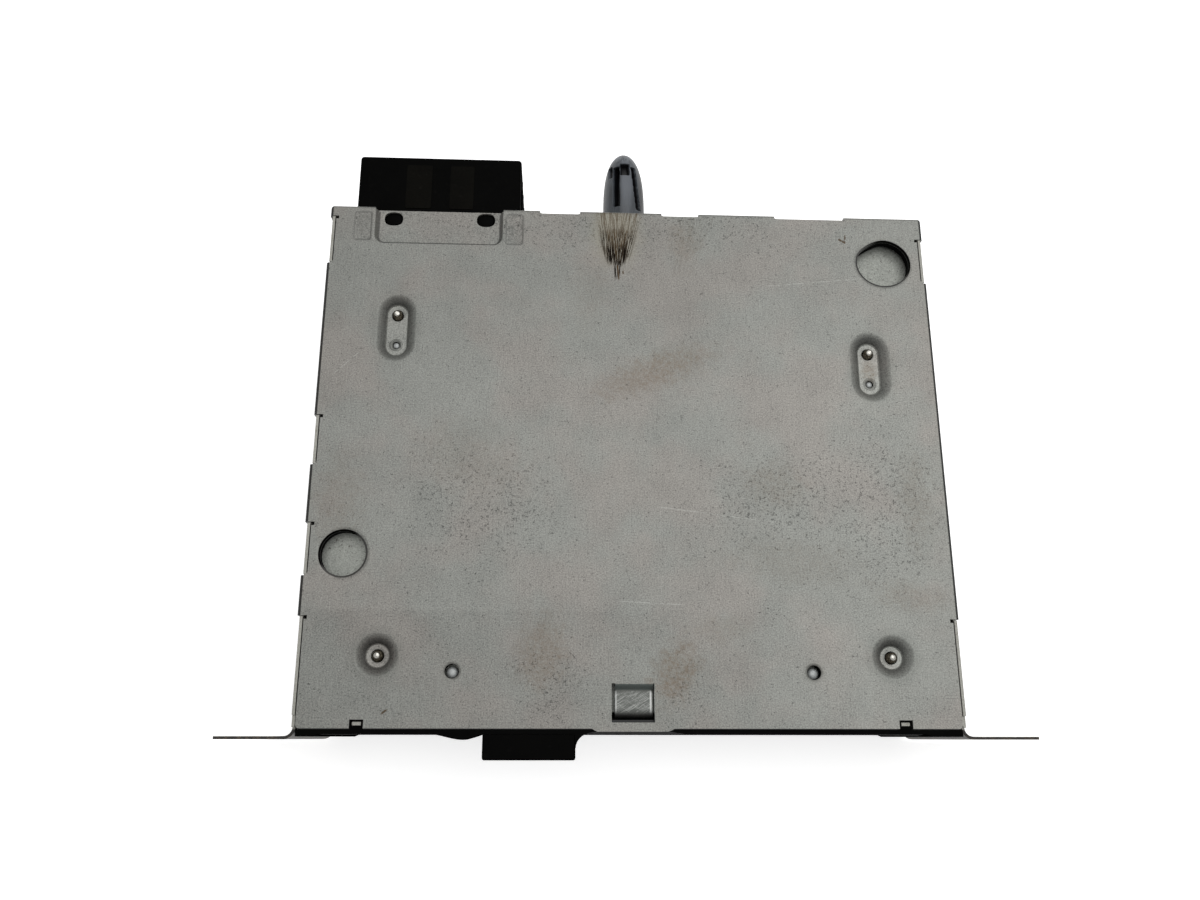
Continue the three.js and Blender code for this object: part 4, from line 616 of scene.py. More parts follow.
def latch_wear_and_painted_light(w, colour, sides):
    """The latch: rubbed and scored, with painted highlights along its sides, dark at its hinge, and painted
    shade where it curls down.
    """
    strip = w.ramp(sides, 5.6, 5.5) * w.ramp(w.y, 1.4, 1.7) * w.ramp(w.y, 11.4, 11.2)
    rubbed = strip * w.ramp(w.y, 3.3, 4.6) * w.ramp(w.y, 10.0, 9.3)
    # Painted highlights: two bright bands along the latch's sides stand for glints on its rolled edges.
    painted_glints = w.most(w.ramp(abs(w.x + 4.6), 0.4, 0.1, 0.0, 0.45), w.ramp(abs(w.x - 4.6), 0.4, 0.05))
    feeds = {"Vector": w.place, "Rotation": (0, 0, 0.55), "Scale": (4.0, 0.28, 1)}
    slanted = w.node("ShaderNodeMapping", feeds, vector_type="TEXTURE")[0]
    scored = w.ramp(w.noise(slanted, 1.4, 4.0, 0.75), 0.48, 0.62)
    for mask, tone in [
        (rubbed * 0.85, (0.085, 0.09, 0.083)),
        (rubbed * scored * 0.55, (0.4, 0.41, 0.39)),
        # Painted highlight: pale bands along the latch's sides
        (rubbed * painted_glints * 0.75, (0.62, 0.63, 0.61)),
        (strip * w.ramp(w.y, 9.5, 10.1) * 0.85, (0.06, 0.075, 0.07)),
        # Painted shade: near black where the latch curls down into its slot
        (strip * w.ramp(w.y, 5.2, 2.8) * 0.92, (0.012, 0.012, 0.012)),
    ]:
        colour = w.blend(mask, colour, tone)
    return colour, strip


def haloed(w, colour, deep):
    """Grime round the recesses and the holes; a mask of the holes' surroundings comes too."""
    for recess in RECESSES:
        reach = recess["top"] + HALO_WIDTH
        halo = w.stain(recess["centre"], (reach, reach + recess["stretch"])) * w.ramp(deep, 0.6, 0.1)
        colour = w.blend(halo * 0.6, colour, RECESS_GREY)
    holes = []
    for centre, reach in HOLE_HALOS:
        around = w.stain(centre, (reach, reach))
        holes.append(w.ramp(around, 0.0005, 0.02))
        colour = w.blend(around * w.ramp(deep, 0.7, 0.2) * 0.6, colour, HOLE_GREY)
    return colour, w.most(*holes)


def tab_and_pads(w, colour):
    """Painted shade lines along the foot of the tab and the edges of the pads, and rough dirt on the pads."""
    # Painted shade: a dark line at the foot of the tab's step and round the edges of the pads.
    for centre, halves, radius, line_at, reach, weight in [TAB_SHADE_LINE] + [(*pad, *PAD_SHADE_LINE) for pad in PADS]:
        away = abs(w.edge_distance(centre, halves, radius) - line_at)
        line = w.ramp(away, reach, reach * 0.35) * w.ramp(w.y, 149.2, 148.6)
        colour = w.dimmed(colour, line * weight)
    dirt = w.ramp(w.noise(w.place, 1.4, 4.0, 0.8), 0.4, 0.62)
    for pad in PADS:
        colour = w.dimmed(colour, w.ramp(w.edge_distance(*pad), 0.1, -0.5) * dirt * 0.3)
    return colour


def shaded_depths(w, colour, deep, holes, field):
    """Painted shade on the rims and far walls of the holes and on the recess slopes, painted light deeper
    down, and the far walls' mask.
    """
    edge_foot = w.ramp(deep, 1.2, 0.8)
    # Painted shade: the walls of the holes just below their rims are darkened.
    colour = w.dimmed(colour, w.ramp(deep, 0.17, 0.23) * edge_foot * holes * 0.8)
    # Painted light: the recess floors and all deeper sheet are made paler.
    colour = w.scaled(colour, w.ramp(deep, 2.2, 2.4, 1.0, 1.16))
    facing_x, facing_y, _ = w.split(w.normal)
    away = facing_y * -0.7 - facing_x * w.ramp(w.x, -1.0, 1.0, -0.7, 0.7)
    # Painted shade: the far walls of the holes, which face the camera's side, are made near black.
    far_wall_shade = w.ramp(deep, 0.18, 0.23) * edge_foot * w.ramp(away, 0.0, 0.08) * holes
    colour = w.dimmed(colour, far_wall_shade * 0.97)
    # Painted shade on the recess slopes, strongest on slopes that face the front, lighter in the left rear
    # recess.
    slope = w.ramp(deep, 0.02, 0.9) * w.ramp(deep, 2.25, 2.1)
    behind = w.most(facing_y * -1.0, 0.0)
    paler = 1.0 - w.ramp(w.x, -50.0, -55.0) * w.ramp(w.y, 90.0, 95.0) * 0.2
    shade = (w.ramp(deep, 0.9, 2.2, 0.22, 0.4) + behind * 0.42) * paler
    return w.dimmed(colour, slope * field * shade), far_wall_shade


def cover_steel():
    """The cover: rolled sheet with stains, streaks and scratches, a rubbed latch, and painted light and shade
    on the latch, bends and pressings.
    """
    w = Finish("cover steel", metallic=0.55, roughness=0.5)
    deep = TOP - w.z
    sides = abs(w.x)
    crowd = w.most(*[w.stain(*zone, ragged=0.9) for zone in SPECK_ZONES])
    grain = w.use(GRAIN, {"Speck share": crowd})
    colour, tar = streaked(w, stained(w, sheet_tone_and_painted_light(w, grain, crowd)), deep)
    for start, end, half_width in DARK_MARKS:
        mark = w.calc("MULTIPLY", w.scratch(start, end, half_width), 1.6, clamp=True)
        colour = w.blend(mark, colour, MARK_BROWN)
    colour, strip = latch_wear_and_painted_light(w, colour, sides)
    bright = w.most(*[w.scratch(*line) for line in BRIGHT_SCRATCHES])
    colour = w.blend(bright * 0.25, colour, SCRATCH_PALE)
    # Painted shade: the side bends, and faintly the rear bend, are darkened where the sheet turns down.
    bend = w.ramp(deep, 2.0, 1.0)
    colour = w.dimmed(colour, w.ramp(sides, 87.95, 88.2) * bend * 0.9)
    colour = w.dimmed(colour, w.ramp(w.y, 149.3, 149.8) * bend * 0.3)
    colour, holes = haloed(w, colour, deep)
    colour = tab_and_pads(w, colour)
    field = w.ramp(sides, 87.2, 86.6) * w.ramp(w.y, 137.4, 137.0) * (1.0 - strip)
    colour, far_wall_shade = shaded_depths(w, colour, deep, holes, field)
    # The far walls' painted shade and the black hairs are made fully metallic.
    w.feed(w.shader["Metallic"], w.most(far_wall_shade, tar) * 0.45 + 0.55)
    return w.done(colour, grain["Tone"] * 0.28 + 0.36, grain["Height"], 0.03, 0.5)


# Other metals

def plain_steel(name, light, dark, metallic, roughness, specks):
    """Coated sheet or turned steel without the cover's stains."""
    w = Finish(name, metallic, roughness)
    grain = w.use(GRAIN, {"Speck share": specks})
    colour = w.blend(w.ramp(grain["Tone"], 0.36, 0.64), dark, light)
    colour = w.blend(grain["Specks"] * 0.35, colour, (dark[0] * 0.5, dark[1] * 0.45, dark[2] * 0.4))
    return w.done(colour, grain["Tone"] * 0.2 + (roughness - 0.1), grain["Height"], 0.02, 0.3)


def chassis_steel():
    """Coated sheet, black along the top of the ears' front edge, painted shadow at their roots, and stains.
    """
    w = Finish("chassis steel", metallic=0.5, roughness=0.48)
    grain = w.use(GRAIN, {"Speck share": 0.7})
    colour = w.blend(w.ramp(grain["Tone"], 0.38, 0.62), (0.21, 0.207, 0.186), (0.29, 0.286, 0.258))
    colour = w.blend(grain["Specks"] * 0.45, colour, (0.1, 0.085, 0.06))
    ragged = (w.noise(w.place, 1.1, 3.0, 0.7) - 0.5) * 0.35
    front = w.ramp(w.y + ragged, -1.98, -2.1) * w.ramp(w.z, 49.2, 49.7)
    # Painted shadow: black over the chassis beside the ears' roots, where it lies in shade.
    root = w.ramp(abs(w.x), 92.5, 90.5) * w.ramp(w.y, 0.1, -0.4)
    colour = w.blend(w.most(front, root) * 0.96, colour, (0.006, 0.004, 0.003))
    brown = w.ramp(w.y, -1.6, -1.9) * w.ramp(w.noise(w.place, 0.5, 4.0, 0.7), 0.5, 0.62)
    colour = w.blend(brown * 0.35, colour, (0.13, 0.095, 0.06))
    return w.done(colour, grain["Tone"] * 0.2 + 0.4, grain["Height"], 0.02, 0.3)


def carrier_steel():
    """The mechanism frame: coated sheet with small dark pits, as it shows through the ports."""
    w = Finish("carrier steel", metallic=0.5, roughness=0.5)
    grain = w.use(GRAIN, {"Speck share": 0.5})
    rings = w.ramp(w.noise(w.place, 0.5, 4.0, 0.6), 0.46, 0.5)
    colour = w.blend(w.ramp(grain["Tone"], 0.4, 0.6), (0.182, 0.191, 0.172), (0.275, 0.284, 0.258))
    colour = w.blend(rings * 0.15, colour, (0.14, 0.14, 0.13))
    colour = w.blend(grain["Specks"] * 0.85, colour, (0.06, 0.056, 0.048))
    return w.done(colour, grain["Tone"] * 0.2 + 0.4, grain["Height"], 0.03, 0.5)


def turned_steel(name, light, dark, roughness):
    """Plated fasteners and rods: bright crests with dark grease in the hollows."""
    w = Finish(name, 0.85, roughness)
    worn = w.noise(w.place, 1.6, 4.0, 0.7)
    colour = w.blend(w.ramp(worn, 0.4, 0.62), dark, light)
    return w.done(colour, worn * 0.3 + (roughness - 0.12), worn, 0.015, 0.3)


def screw_tip_steel():
    """The mechanism screws: threads dark with old grease, and a bare bright tip."""
    w = Finish("screw tip steel", metallic=0.8, roughness=0.3)
    worn = w.noise(w.place, 2.2, 4.0, 0.7)
    bare = w.ramp(w.z + worn * 0.2, 51.3, 51.42)
    greased = w.blend(w.ramp(worn, 0.4, 0.65), (0.03, 0.024, 0.016), (0.16, 0.14, 0.10))
    colour = w.blend(bare * w.ramp(worn, 0.3, 0.6, 0.5, 1.0), greased, (0.5, 0.49, 0.45))
    return w.done(colour, 0.5 - bare * 0.25, worn, 0.015, 0.3)


PIN_CARRIER = 1.0
PIN_ROOTS = (node_place("front_contacts")[1][1] - PIN_CARRIER,
             node_place("harness_contacts")[0][1] + PIN_CARRIER)
PIN_FADE = 0.02


def contact_pins():
    """Gilded pins that stand in a black moulded carrier, in the front and in the harness connector."""
    w = Finish("contact pins", roughness=0.32)
    out = w.most(w.ramp(w.y, PIN_ROOTS[0] + PIN_FADE, PIN_ROOTS[0] - PIN_FADE),
                 w.ramp(w.y, PIN_ROOTS[1] - PIN_FADE, PIN_ROOTS[1] + PIN_FADE))
    gilt = w.blend(w.ramp(w.noise(w.place, 1.6, 4.0, 0.7), 0.4, 0.62), (0.40, 0.25, 0.09), (0.62, 0.42, 0.16))
    w.feed(w.shader["Metallic"], out * 0.85)
    return w.done(w.blend(out, (0.004, 0.004, 0.004), gilt), w.ramp(out, 0.0, 1.0, 0.55, 0.3))


# Plastics, board and glass

GREY_DUST = (0.2, 0.19, 0.17)


def plastic(name, colour, roughness, fineness=2.4, dust=GREY_DUST, dusty=0.06, spread=0.25, gloss=0.5):
    """Moulded plastic with slow tone changes and dust in its texture, and no sheen seen edge on."""
    w = Finish(name, roughness=roughness, Specular_IOR_Level=gloss)
    edge_on = w.node("ShaderNodeLayerWeight")["Facing"]
    w.feed(w.shader["Specular IOR Level"], w.ramp(edge_on, 0.94, 0.75, 0.0, gloss))
    skin = w.use(SKIN, {"Fineness": fineness})
    low, high = (tuple(channel * share for channel in colour) for share in (1 - spread, 1 + spread))
    tone = w.blend(w.ramp(skin["Tone"], 0.36, 0.64), low, high)
    tone = w.blend(skin["Dust"] * dusty, tone, dust)
    return w.done(tone, skin["Dust"] * 0.2 + (roughness - 0.06), skin["Height"], 0.02, 0.35)


def peg_plastic():
    """Blue grey plastic, streaked along the peg, paler on top and at the mottled tip; painted shade in the
    slots and on its right flank.
    """
    w = Finish("peg plastic", roughness=0.4, Specular_IOR_Level=0.35)
    streak = w.noise(w.stretched(w.place, (1.6, 0.14, 1.6)), 1.0, 4.0, 0.7)
    colour = w.blend(w.ramp(streak, 0.35, 0.65), (0.028, 0.032, 0.037), (0.055, 0.062, 0.07))
    panel = w.ramp(abs(w.x - 0.7), 2.6, 1.2) * w.ramp(w.z, 30.0, 31.5)
    colour = w.blend(panel * w.ramp(w.y, 160.0, 172.0, 0.15, 0.6), colour, (0.12, 0.13, 0.148))
    # Painted shade: the right flank of the peg is made near black.
    colour = w.blend(w.ramp(w.x, 4.5, 5.6) * 0.93, colour, (0.005, 0.005, 0.006))
    tip = w.ramp(w.y, 178.5, 183.5) * w.ramp(streak, 0.42, 0.6)
    colour = w.blend(tip * 0.6, colour, (0.2, 0.215, 0.235))
    away = w.vector("LENGTH", w.combined(w.x, w.z - PEG_LEVEL), result="Value")
    nose = w.calc("POWER", w.most((w.y - PEG_SHOULDER) / PEG_NOSE, 0.0), PEG_OGIVE)
    full = w.calc("POWER", 1.0 - nose, 0.5) * PEG_RADIUS
    # Painted shade: near black in the slots, wherever the surface is sunk below the bullet's full radius.
    sunk = w.ramp(full - away, 0.3, 1.0) * w.ramp(w.y, 150.0, 152.0)
    colour = w.blend(sunk, colour, (0.003, 0.003, 0.004))
    return w.done(colour, w.ramp(streak, 0.3, 0.7, 0.34, 0.5), streak, 0.05, 0.35)


def board_lacquer():
    """Green lacquer over copper runs, drawn by a grid of bricks, with round spots for the lands."""
    w = Finish("board lacquer", roughness=0.42)
    feeds = {"Vector": w.place, "Scale": 0.28, "Mortar Size": 0.12, "Mortar Smooth": 0.1, "Brick Width": 1.4,
             "Row Height": 0.42}
    runs = w.node("ShaderNodeTexBrick", feeds)["Fac"] * w.ramp(w.noise(w.place, 0.12), 0.42, 0.5)
    colour = w.blend(runs, (0.012, 0.07, 0.028), (0.035, 0.15, 0.06))
    spots = w.node("ShaderNodeTexVoronoi", {"Vector": w.place, "Scale": 0.35})["Distance"]
    colour = w.blend(w.ramp(spots, 0.12, 0.09), colour, (0.45, 0.44, 0.40))
    return w.done(colour, None, runs, 0.05, 0.4)


def clear_lens():
    """Coated lens glass: clear, with a faint blue coat that changes over the surface."""
    w = Finish("lens glass", roughness=0.05, IOR=1.5, Transmission_Weight=1.0)
    return w.done(w.blend(w.noise(w.place, 0.6), (0.62, 0.72, 0.95), (0.80, 0.74, 0.95)))


MATERIALS = {
    "cover_steel": cover_steel(),
    "chassis_steel": chassis_steel(),
    "inner_steel": plain_steel("inner steel", (0.40, 0.41, 0.40), (0.30, 0.31, 0.30), 0.6, 0.45, 0.5),
    "screw_steel": turned_steel("screw steel", (0.62, 0.62, 0.58), (0.20, 0.19, 0.15), 0.34),
    "pin_steel": plain_steel("pin steel", (0.38, 0.395, 0.39), (0.25, 0.26, 0.255), 0.3, 0.45, 0.3),
    "screw_tip": screw_tip_steel(),
    "carrier_steel": carrier_steel(),
    "motor_steel": plain_steel("motor steel", (0.36, 0.36, 0.36), (0.26, 0.26, 0.26), 0.75, 0.36, 0.1),
    "sink_aluminium": plain_steel("sink aluminium", (0.50, 0.51, 0.52), (0.40, 0.41, 0.42), 0.8, 0.45, 0.1),
    "under_steel": plain_steel("under steel", (0.25, 0.247, 0.225), (0.18, 0.178, 0.162), 0.5, 0.48, 0.6),
    "contact_pins": contact_pins(),
    "contact_brass": turned_steel("contact brass", (0.62, 0.42, 0.16), (0.40, 0.25, 0.09), 0.3),
    "casing_black": plastic("casing black", (0.0009, 0.0009, 0.0008), 0.5, dusty=0.013, gloss=0.015),
    "panel_black": plastic("panel black", (0.0026, 0.0024, 0.0018), 0.5, dusty=0.02, gloss=0.015),
    "face_black": plastic("face black", (0.0065, 0.0065, 0.0065), 0.45, dusty=0.05, gloss=0.25),
    "peg_grey": peg_plastic(),
    "mech_white": plastic("mechanism white", (0.62, 0.60, 0.54), 0.5, spread=0.08, dust=(0.4, 0.36, 0.28),
                          dusty=0.15),
    "mech_black": plastic("mechanism black", (0.012, 0.012, 0.013), 0.5),
    "chip_black": plastic("chip black", (0.010, 0.010, 0.011), 0.55, fineness=5.0),
    # Painted shade: the flat black of the collars that stand for the shade under the holes
    "collar_shade_black": plastic("collar shade black", (0.0025, 0.0025, 0.0025), 0.8, dusty=0.01, gloss=0.03),
    "rubber_black": plastic("rubber black", (0.016, 0.016, 0.017), 0.8, fineness=1.5, dusty=0.12),
    "felt_black": plastic("felt black", (0.010, 0.010, 0.010), 0.95, fineness=4.0, dusty=0.1),
    "capacitor_sleeve": plastic("capacitor sleeve", (0.02, 0.025, 0.06), 0.3, dusty=0.05),
    "board_green": board_lacquer(),
    "lens_glass": clear_lens(),
}


# Top cover: skirts as spans along their edge, the rear ones with their depth

FLAT_X = 88.0
FLUSH_X = 87.1
NICK_X = 86.3
NICK = 0.95
FLAT_Y = 149.0
REAR_IN = 148.75
REAR_SLOPE = 0.6
SKIRT_SLOPE = 0.8
BEND = 1.0
BEND_STEPS = 6
LEFT_SKIRTS = [(28.8, 39.4), (54.0, 70.1), (84.6, 131.2), (146.5, FLAT_Y)]
RIGHT_SKIRTS = [(28.7, 128.4), (142.9, FLAT_Y)]
REAR_SKIRTS = [(65.3, FLAT_X, 7.0), (20.9, 43.9, 7.0), (-14.9, 9.6, 7.0), (-37.8, -26.9, 1.6),
               (-FLAT_X, -75.8, 2.5)]
SIDE_SKIRT = 14.0
FRONT_TONGUE = [(-10.9, 0.0), (-10.2, -0.45), (-9.6, -0.75), (8.9, -0.75), (9.8, -0.45), (10.6, 0.0)]
NOTCH_HALF = 1.8
NOTCH_DEPTH = 2.2
RECESS_FLOOR = 49.5
RECESS_WAVE = 0.62 * math.pi
SCREW_BORE = 1.78
SIGHT_RING = (2.05, 1.55, 1.1)
SIGHT_RISE = 0.22
SIGHT_DROP = 0.15
SIGHT_RIM = 2.5
SIGHT_BORE = 1.83
PORT_DROP = 0.3
PAD_SLOPE = 0.45
PAD_DROP = 0.16
TAB_LEFT, TAB_RIGHT, TAB_FRONT = -75.8, -37.8, 137.8
TAB_LEVEL = TOP - 1.7
TAB_REAR = 149.4
CATCH_HALVES = (2.75, 2.2)
LATCH = (-5.8, 5.4, 1.6, 11.5)
LATCH_GAPS = (0.95, 0.25)
LATCH_COLUMNS = 13
LATCH_CROWN = 0.12
LATCH_PROFILE = [(0, 0), (0.35, 0.06), (0.8, 0.45), (1.25, 0.95), (1.65, 1.32), (2.1, 1.48), (2.8, 1.5),
                 (4.5, 1.47), (6.2, 1.5), (7.3, 1.62), (8.0, 1.95), (8.5, 2.5), (8.8, 3.2), (8.9, 4.0)]


def side_line(skirts):
    """Places out from the middle and along Y, rearwards: nicks before each skirt, short slopes after it."""
    points = [(FLUSH_X - 0.9, 0.0), (FLUSH_X - 0.25, 0.25), (FLUSH_X, 0.9)]
    for start, end in skirts:
        points += [(FLUSH_X, start - NICK), (NICK_X, start - NICK), (NICK_X, start)]
        points += [(FLAT_X, start), (FLAT_X, end)]
        if end < FLAT_Y:
            points.append((FLUSH_X, end + SKIRT_SLOPE))
    return np.array(points)


def tab_line(side, front, radius, rear):
    """Three sides of the lowered tab, from its right rear end round to its left, moved in by two widths."""
    corner = np.linspace(0, math.pi / 2, 9)
    x0, x1, y0 = TAB_LEFT + side, TAB_RIGHT - side, TAB_FRONT + front
    right = np.column_stack([x1 - radius + radius * np.cos(corner), y0 + radius - radius * np.sin(corner)])
    left = np.column_stack([x0 + radius - radius * np.sin(corner), y0 + radius - radius * np.cos(corner)])
    return np.concatenate([[(x1, rear)], right, left, [(x0, rear)]])


def cover_outline(tab):
    """The flat sheet's outline: the front, the right side, the rear with the tab, and the left side."""
    notches = []
    for middle in NOTCHES:
        start, end = middle - NOTCH_HALF, middle + NOTCH_HALF
        notches.append([(start, 0.0), (start, NOTCH_DEPTH), (end, NOTCH_DEPTH), (end, 0.0)])
    front = notches[0] + FRONT_TONGUE + notches[1]
    rear = []
    for (start, _, _), (_, end, _) in zip(REAR_SKIRTS[:3], REAR_SKIRTS[1:4]):
        rear += [(start, FLAT_Y), (start - REAR_SLOPE, REAR_IN), (end + REAR_SLOPE, REAR_IN), (end, FLAT_Y)]
    left = side_line(LEFT_SKIRTS) * [-1, 1]
    return np.concatenate([front, side_line(RIGHT_SKIRTS), rear, tab, left[::-1]])


def recess_pressing(skin, recess):
    """A recess with its screw's bore and, for some, a raised ring round a sight hole; gives its rim."""
    across = recess["centre"][0]
    rim, foot = (oblong(recess["centre"], recess[part], recess["stretch"]) for part in ("top", "floor"))
    pressed(skin, rim, foot, TOP, RECESS_FLOOR, 12, wave=RECESS_WAVE)
    bores = [oblong((across, recess["screw"]), SCREW_BORE, 0, 36)]
    if recess["sight"]:
        ring, lip, bore = (oblong((across, recess["sight"]), radius, 0, 36) for radius in SIGHT_RING)
        pressed(skin, ring, lip, RECESS_FLOOR, RECESS_FLOOR + SIGHT_RISE, 4)
        pressed(skin, lip, bore, RECESS_FLOOR + SIGHT_RISE, RECESS_FLOOR - SIGHT_DROP, 4)
        bores.append(ring)
    fill(skin, foot, bores, RECESS_FLOOR)
    return rim


def latch_strip(columns, hinge):
    """The latch: a lip from the window's rear edge down a short slope, level, then curling down in front."""
    profile = np.array(LATCH_PROFILE)
    crown = LATCH_CROWN * (1 - (2 * (columns - columns[0]) / (columns[-1] - columns[0]) - 1) ** 2)
    weight = np.clip(profile[:, :1] / 2.0, 0, 1)
    y = np.repeat((hinge - profile[:, :1]), len(columns), axis=1)
    z = TOP - profile[:, 1:] + (crown - LATCH_CROWN) * weight
    x = np.broadcast_to(columns, y.shape)
    return np.stack([x, y, z], axis=2)


def bent_edge(skin, start, end, outward, depth):
    """A skirt along a straight edge: a quarter circle from the top round to the side, then straight down."""
    angle = np.linspace(0, math.pi / 2, BEND_STEPS + 1)
    reach = np.append(BEND * np.sin(angle), BEND)[:, None] * outward
    drop = np.append(BEND * (1 - np.cos(angle)), depth)
    rows = [np.column_stack([reach + corner, TOP - drop]) for corner in (start, end)]
    lofted(skin, np.stack(rows, axis=1), closed=False)


def corner_dome(skin, side):
    """The rounded rear corner: an eighth of a sphere that joins the side's bend to the rear's."""
    across = np.linspace(0, math.pi / 2, BEND_STEPS + 1)[:, None]
    down = across.T
    x = side * (FLAT_X + BEND * np.sin(down) * np.cos(across))
    y = FLAT_Y + BEND * np.sin(down) * np.sin(across)
    z = TOP - BEND * (1 - np.cos(down)) + 0 * across
    lofted(skin, np.stack([x, y, z], axis=2), closed=False)


def cover_sheet():
    """The pressed cover: a flat sheet with each recess, port, tab, latch and skirt, drawn as one surface."""
    skin = Skin()
    holes = [recess_pressing(skin, recess) for recess in RECESSES]
    for centre, radius, squash, chord in PORTS:
        holes.append(port_loop(centre, radius + PORT_SLOPE, squash))
        pressed(skin, holes[-1], port_loop(centre, radius, squash, chord), TOP, TOP - PORT_DROP, 6)
    for centre in SIGHTS:
        holes.append(oblong(centre, SIGHT_RIM, 0, 48))
        pressed(skin, holes[-1], oblong(centre, SIGHT_BORE, 0, 48), TOP, TOP - SIGHT_RISE, 4)
    for centre, halves, radius in PADS:
        box = box_round(centre, halves)
        foot = inset_box(box, PAD_SLOPE, 0.6)
        holes.append(inset_box(box, 0, radius))
        pressed(skin, holes[-1], foot, TOP, TOP - PAD_DROP, 3)
        fill(skin, foot, (), TOP - PAD_DROP)
    x0, x1, y0, y1 = LATCH
    columns = np.linspace(x0 + LATCH_GAPS[0], x1 - LATCH_GAPS[1], LATCH_COLUMNS)
    hinge = np.column_stack([columns, np.full(LATCH_COLUMNS, y1)])
    holes.append(np.concatenate([[(x0, y1)], hinge, [(x1, y1), (x1, y0), (x0, y0)]]))
    tab_outer = tab_line(0.0, 0.0, 3.0, FLAT_Y)
    tab_inner = tab_line(1.0, 0.5, 2.6, TAB_REAR)
    fill(skin, cover_outline(tab_outer), holes, TOP)
    lofted(skin, latch_strip(columns, y1), closed=False)
    pressed(skin, tab_outer, tab_inner, TOP, TAB_LEVEL, 8, closed=False)
    fill(skin, tab_inner, [rounded_oval(centre, *CATCH_HALVES) for centre in CATCHES], TAB_LEVEL)
    for side, skirts in ((-1, LEFT_SKIRTS), (1, RIGHT_SKIRTS)):
        for start, end in skirts:
            bent_edge(skin, (side * FLAT_X, start), (side * FLAT_X, end), (side, 0), SIDE_SKIRT)
    for start, end, depth in REAR_SKIRTS:
        bent_edge(skin, (start, FLAT_Y), (end, FLAT_Y), (0, 1), depth)
    for side in (-1, 1):
        corner_dome(skin, side)
    skin.piece("cover_sheet", "cover_steel", "cover_steel", "top_cover", wall=SHEET, bevel=0.1)


# What stands between the cover and the mechanism frame

CARRIER_TOP = 48.7
COLLAR_TOP = 51.1
COLLAR_GAP = 0.12
COLLAR_WALL = 1.5
SIGHT_COLLAR = (2.9, 1.98)


def port_shade_collars():
    """Painted shade: black collars between the cover and the mechanism frame, round the ports and the sight
    holes, standing for the shade in the gap.
    """
    skin = Skin()
    # Painted shade: each collar is a black wall just outside a hole, seen through it as its dark far side.
    for centre, radius, squash, chord in PORTS:
        bore = port_loop(centre, radius + COLLAR_GAP, squash, chord)
        drawn_out(skin, port_loop(centre, radius + COLLAR_WALL, squash), (CARRIER_TOP, COLLAR_TOP), "z", [bore])
    for centre in SIGHTS:
        outer, bore = (oblong(centre, radius, 0, 48) for radius in SIGHT_COLLAR)
        drawn_out(skin, outer, (CARRIER_TOP, COLLAR_TOP), "z", [bore])
    skin.piece("port_shade_collars", "collar_shade_black", "rubber_black")


def domed_pin(skin, centre, radius, level, rise, count):
    """A pin with a straight side up to a level, then a quarter of an oval, cut off short of its middle."""
    angle = np.linspace(0, math.pi / 2 - 0.15, 8)
    dome = np.column_stack([level + rise * np.sin(angle), radius * np.cos(angle)])
    profile = [(CARRIER_TOP, radius), *dome]
    spun(skin, profile, centre, count)
    fill(skin, oblong(centre, profile[-1][1], 0, count), (), profile[-1][0])


def sight_pins():
    """Bright domed pins of the mechanism frame: large under the sight holes, small in two recesses."""
    skin = Skin()
    for x, y in SIGHTS:
        domed_pin(skin, (x, y - 0.25), 1.5, 49.9, 0.95, 40)
    for recess in RECESSES[:2]:
        domed_pin(skin, (recess["centre"][0], recess["sight"]), 0.85, 48.95, 0.45, 32)
    skin.piece("sight_pins", "pin_steel", "screw_steel", sharp=50.0)


cover_sheet()
port_shade_collars()
sight_pins()


# Front bezel with its lip, feet, lobe, hooks and slot; boxes as their sides, the funnel as insets and Y

FACE = (-84.0, 84.0, 3.4, 47.6)
FACE_PLATE = (-87.1, 87.1, 1.1, 50.9)
MOUTH = (-64.2, 64.2, 31.4, 40.6)
MOUTH_RADIUS = 3.0
FUNNEL = [(0.0, -1.5), (0.5, -1.42), (1.2, -0.9), (1.8, -0.3), (2.1, 0.4), (2.1, 1.0)]
SLOT = (-62, 62, 33.5, 38.5)
WINDOWS = (-66, -30, 30, 66)
LIP_SPAN = (43.5, 51.7)
FOOT = [(79.8, -1.4), (81.2, -2.0), (87.0, -2.0), (87.0, -1.0), (79.8, -1.0)]
FOOT_SPAN = (1.2, 44.0)
HOOK = [(-1.7, -0.4), (-1.7, 2.1), (1.7, 2.1), (1.7, -0.4), (1.2, -0.4), (1.2, 1.65), (-1.2, 1.65),
        (-1.2, -0.4)]
LOBE_START, LOBE_WIDTH, LOBE_RISE, LOBE_CREST = -53.5, 14.1, 1.45, 0.68


def lip_outline():
    """The bezel's upper edge seen from above: feet, a smooth lobe and a hollow beside the connector."""
    lobe = np.linspace(0, 1, 21)
    climb = (1 - np.cos(math.pi * lobe / LOBE_CREST)) / 2
    fall = np.clip((1 - lobe) / (1 - LOBE_CREST), 0, 1) ** 0.8
    rise = LOBE_RISE * np.where(lobe < LOBE_CREST, climb, fall)
    curve = np.column_stack([LOBE_START + LOBE_WIDTH * lobe, -1.4 - rise])
    hollow = np.linspace(0, math.pi / 2, 9)
    beside = np.column_stack([-9.9 - 5.2 * np.sin(hollow), -0.8 - 4.0 * (1 - np.cos(hollow))])[::-1]
    front = [(-87.0, -2.0), (-83.2, -2.0), (-81.2, -1.4)]
    middle = [(-39.0, -1.4), (-15.4, -1.4)]
    after = [(-9.6, -0.6), (9.4, -0.6), (11.5, -1.05), (14.4, -1.35), (77.3, -1.35), (79.0, -2.0),
             (87.0, -2.0)]
    back = [(87.0, -0.25), (10.7, -0.25), (9.9, -0.5), (-9.9, -0.5), (-10.9, -0.25), (-87.0, -0.25)]
    return np.concatenate([front, curve, middle, beside, after, back])


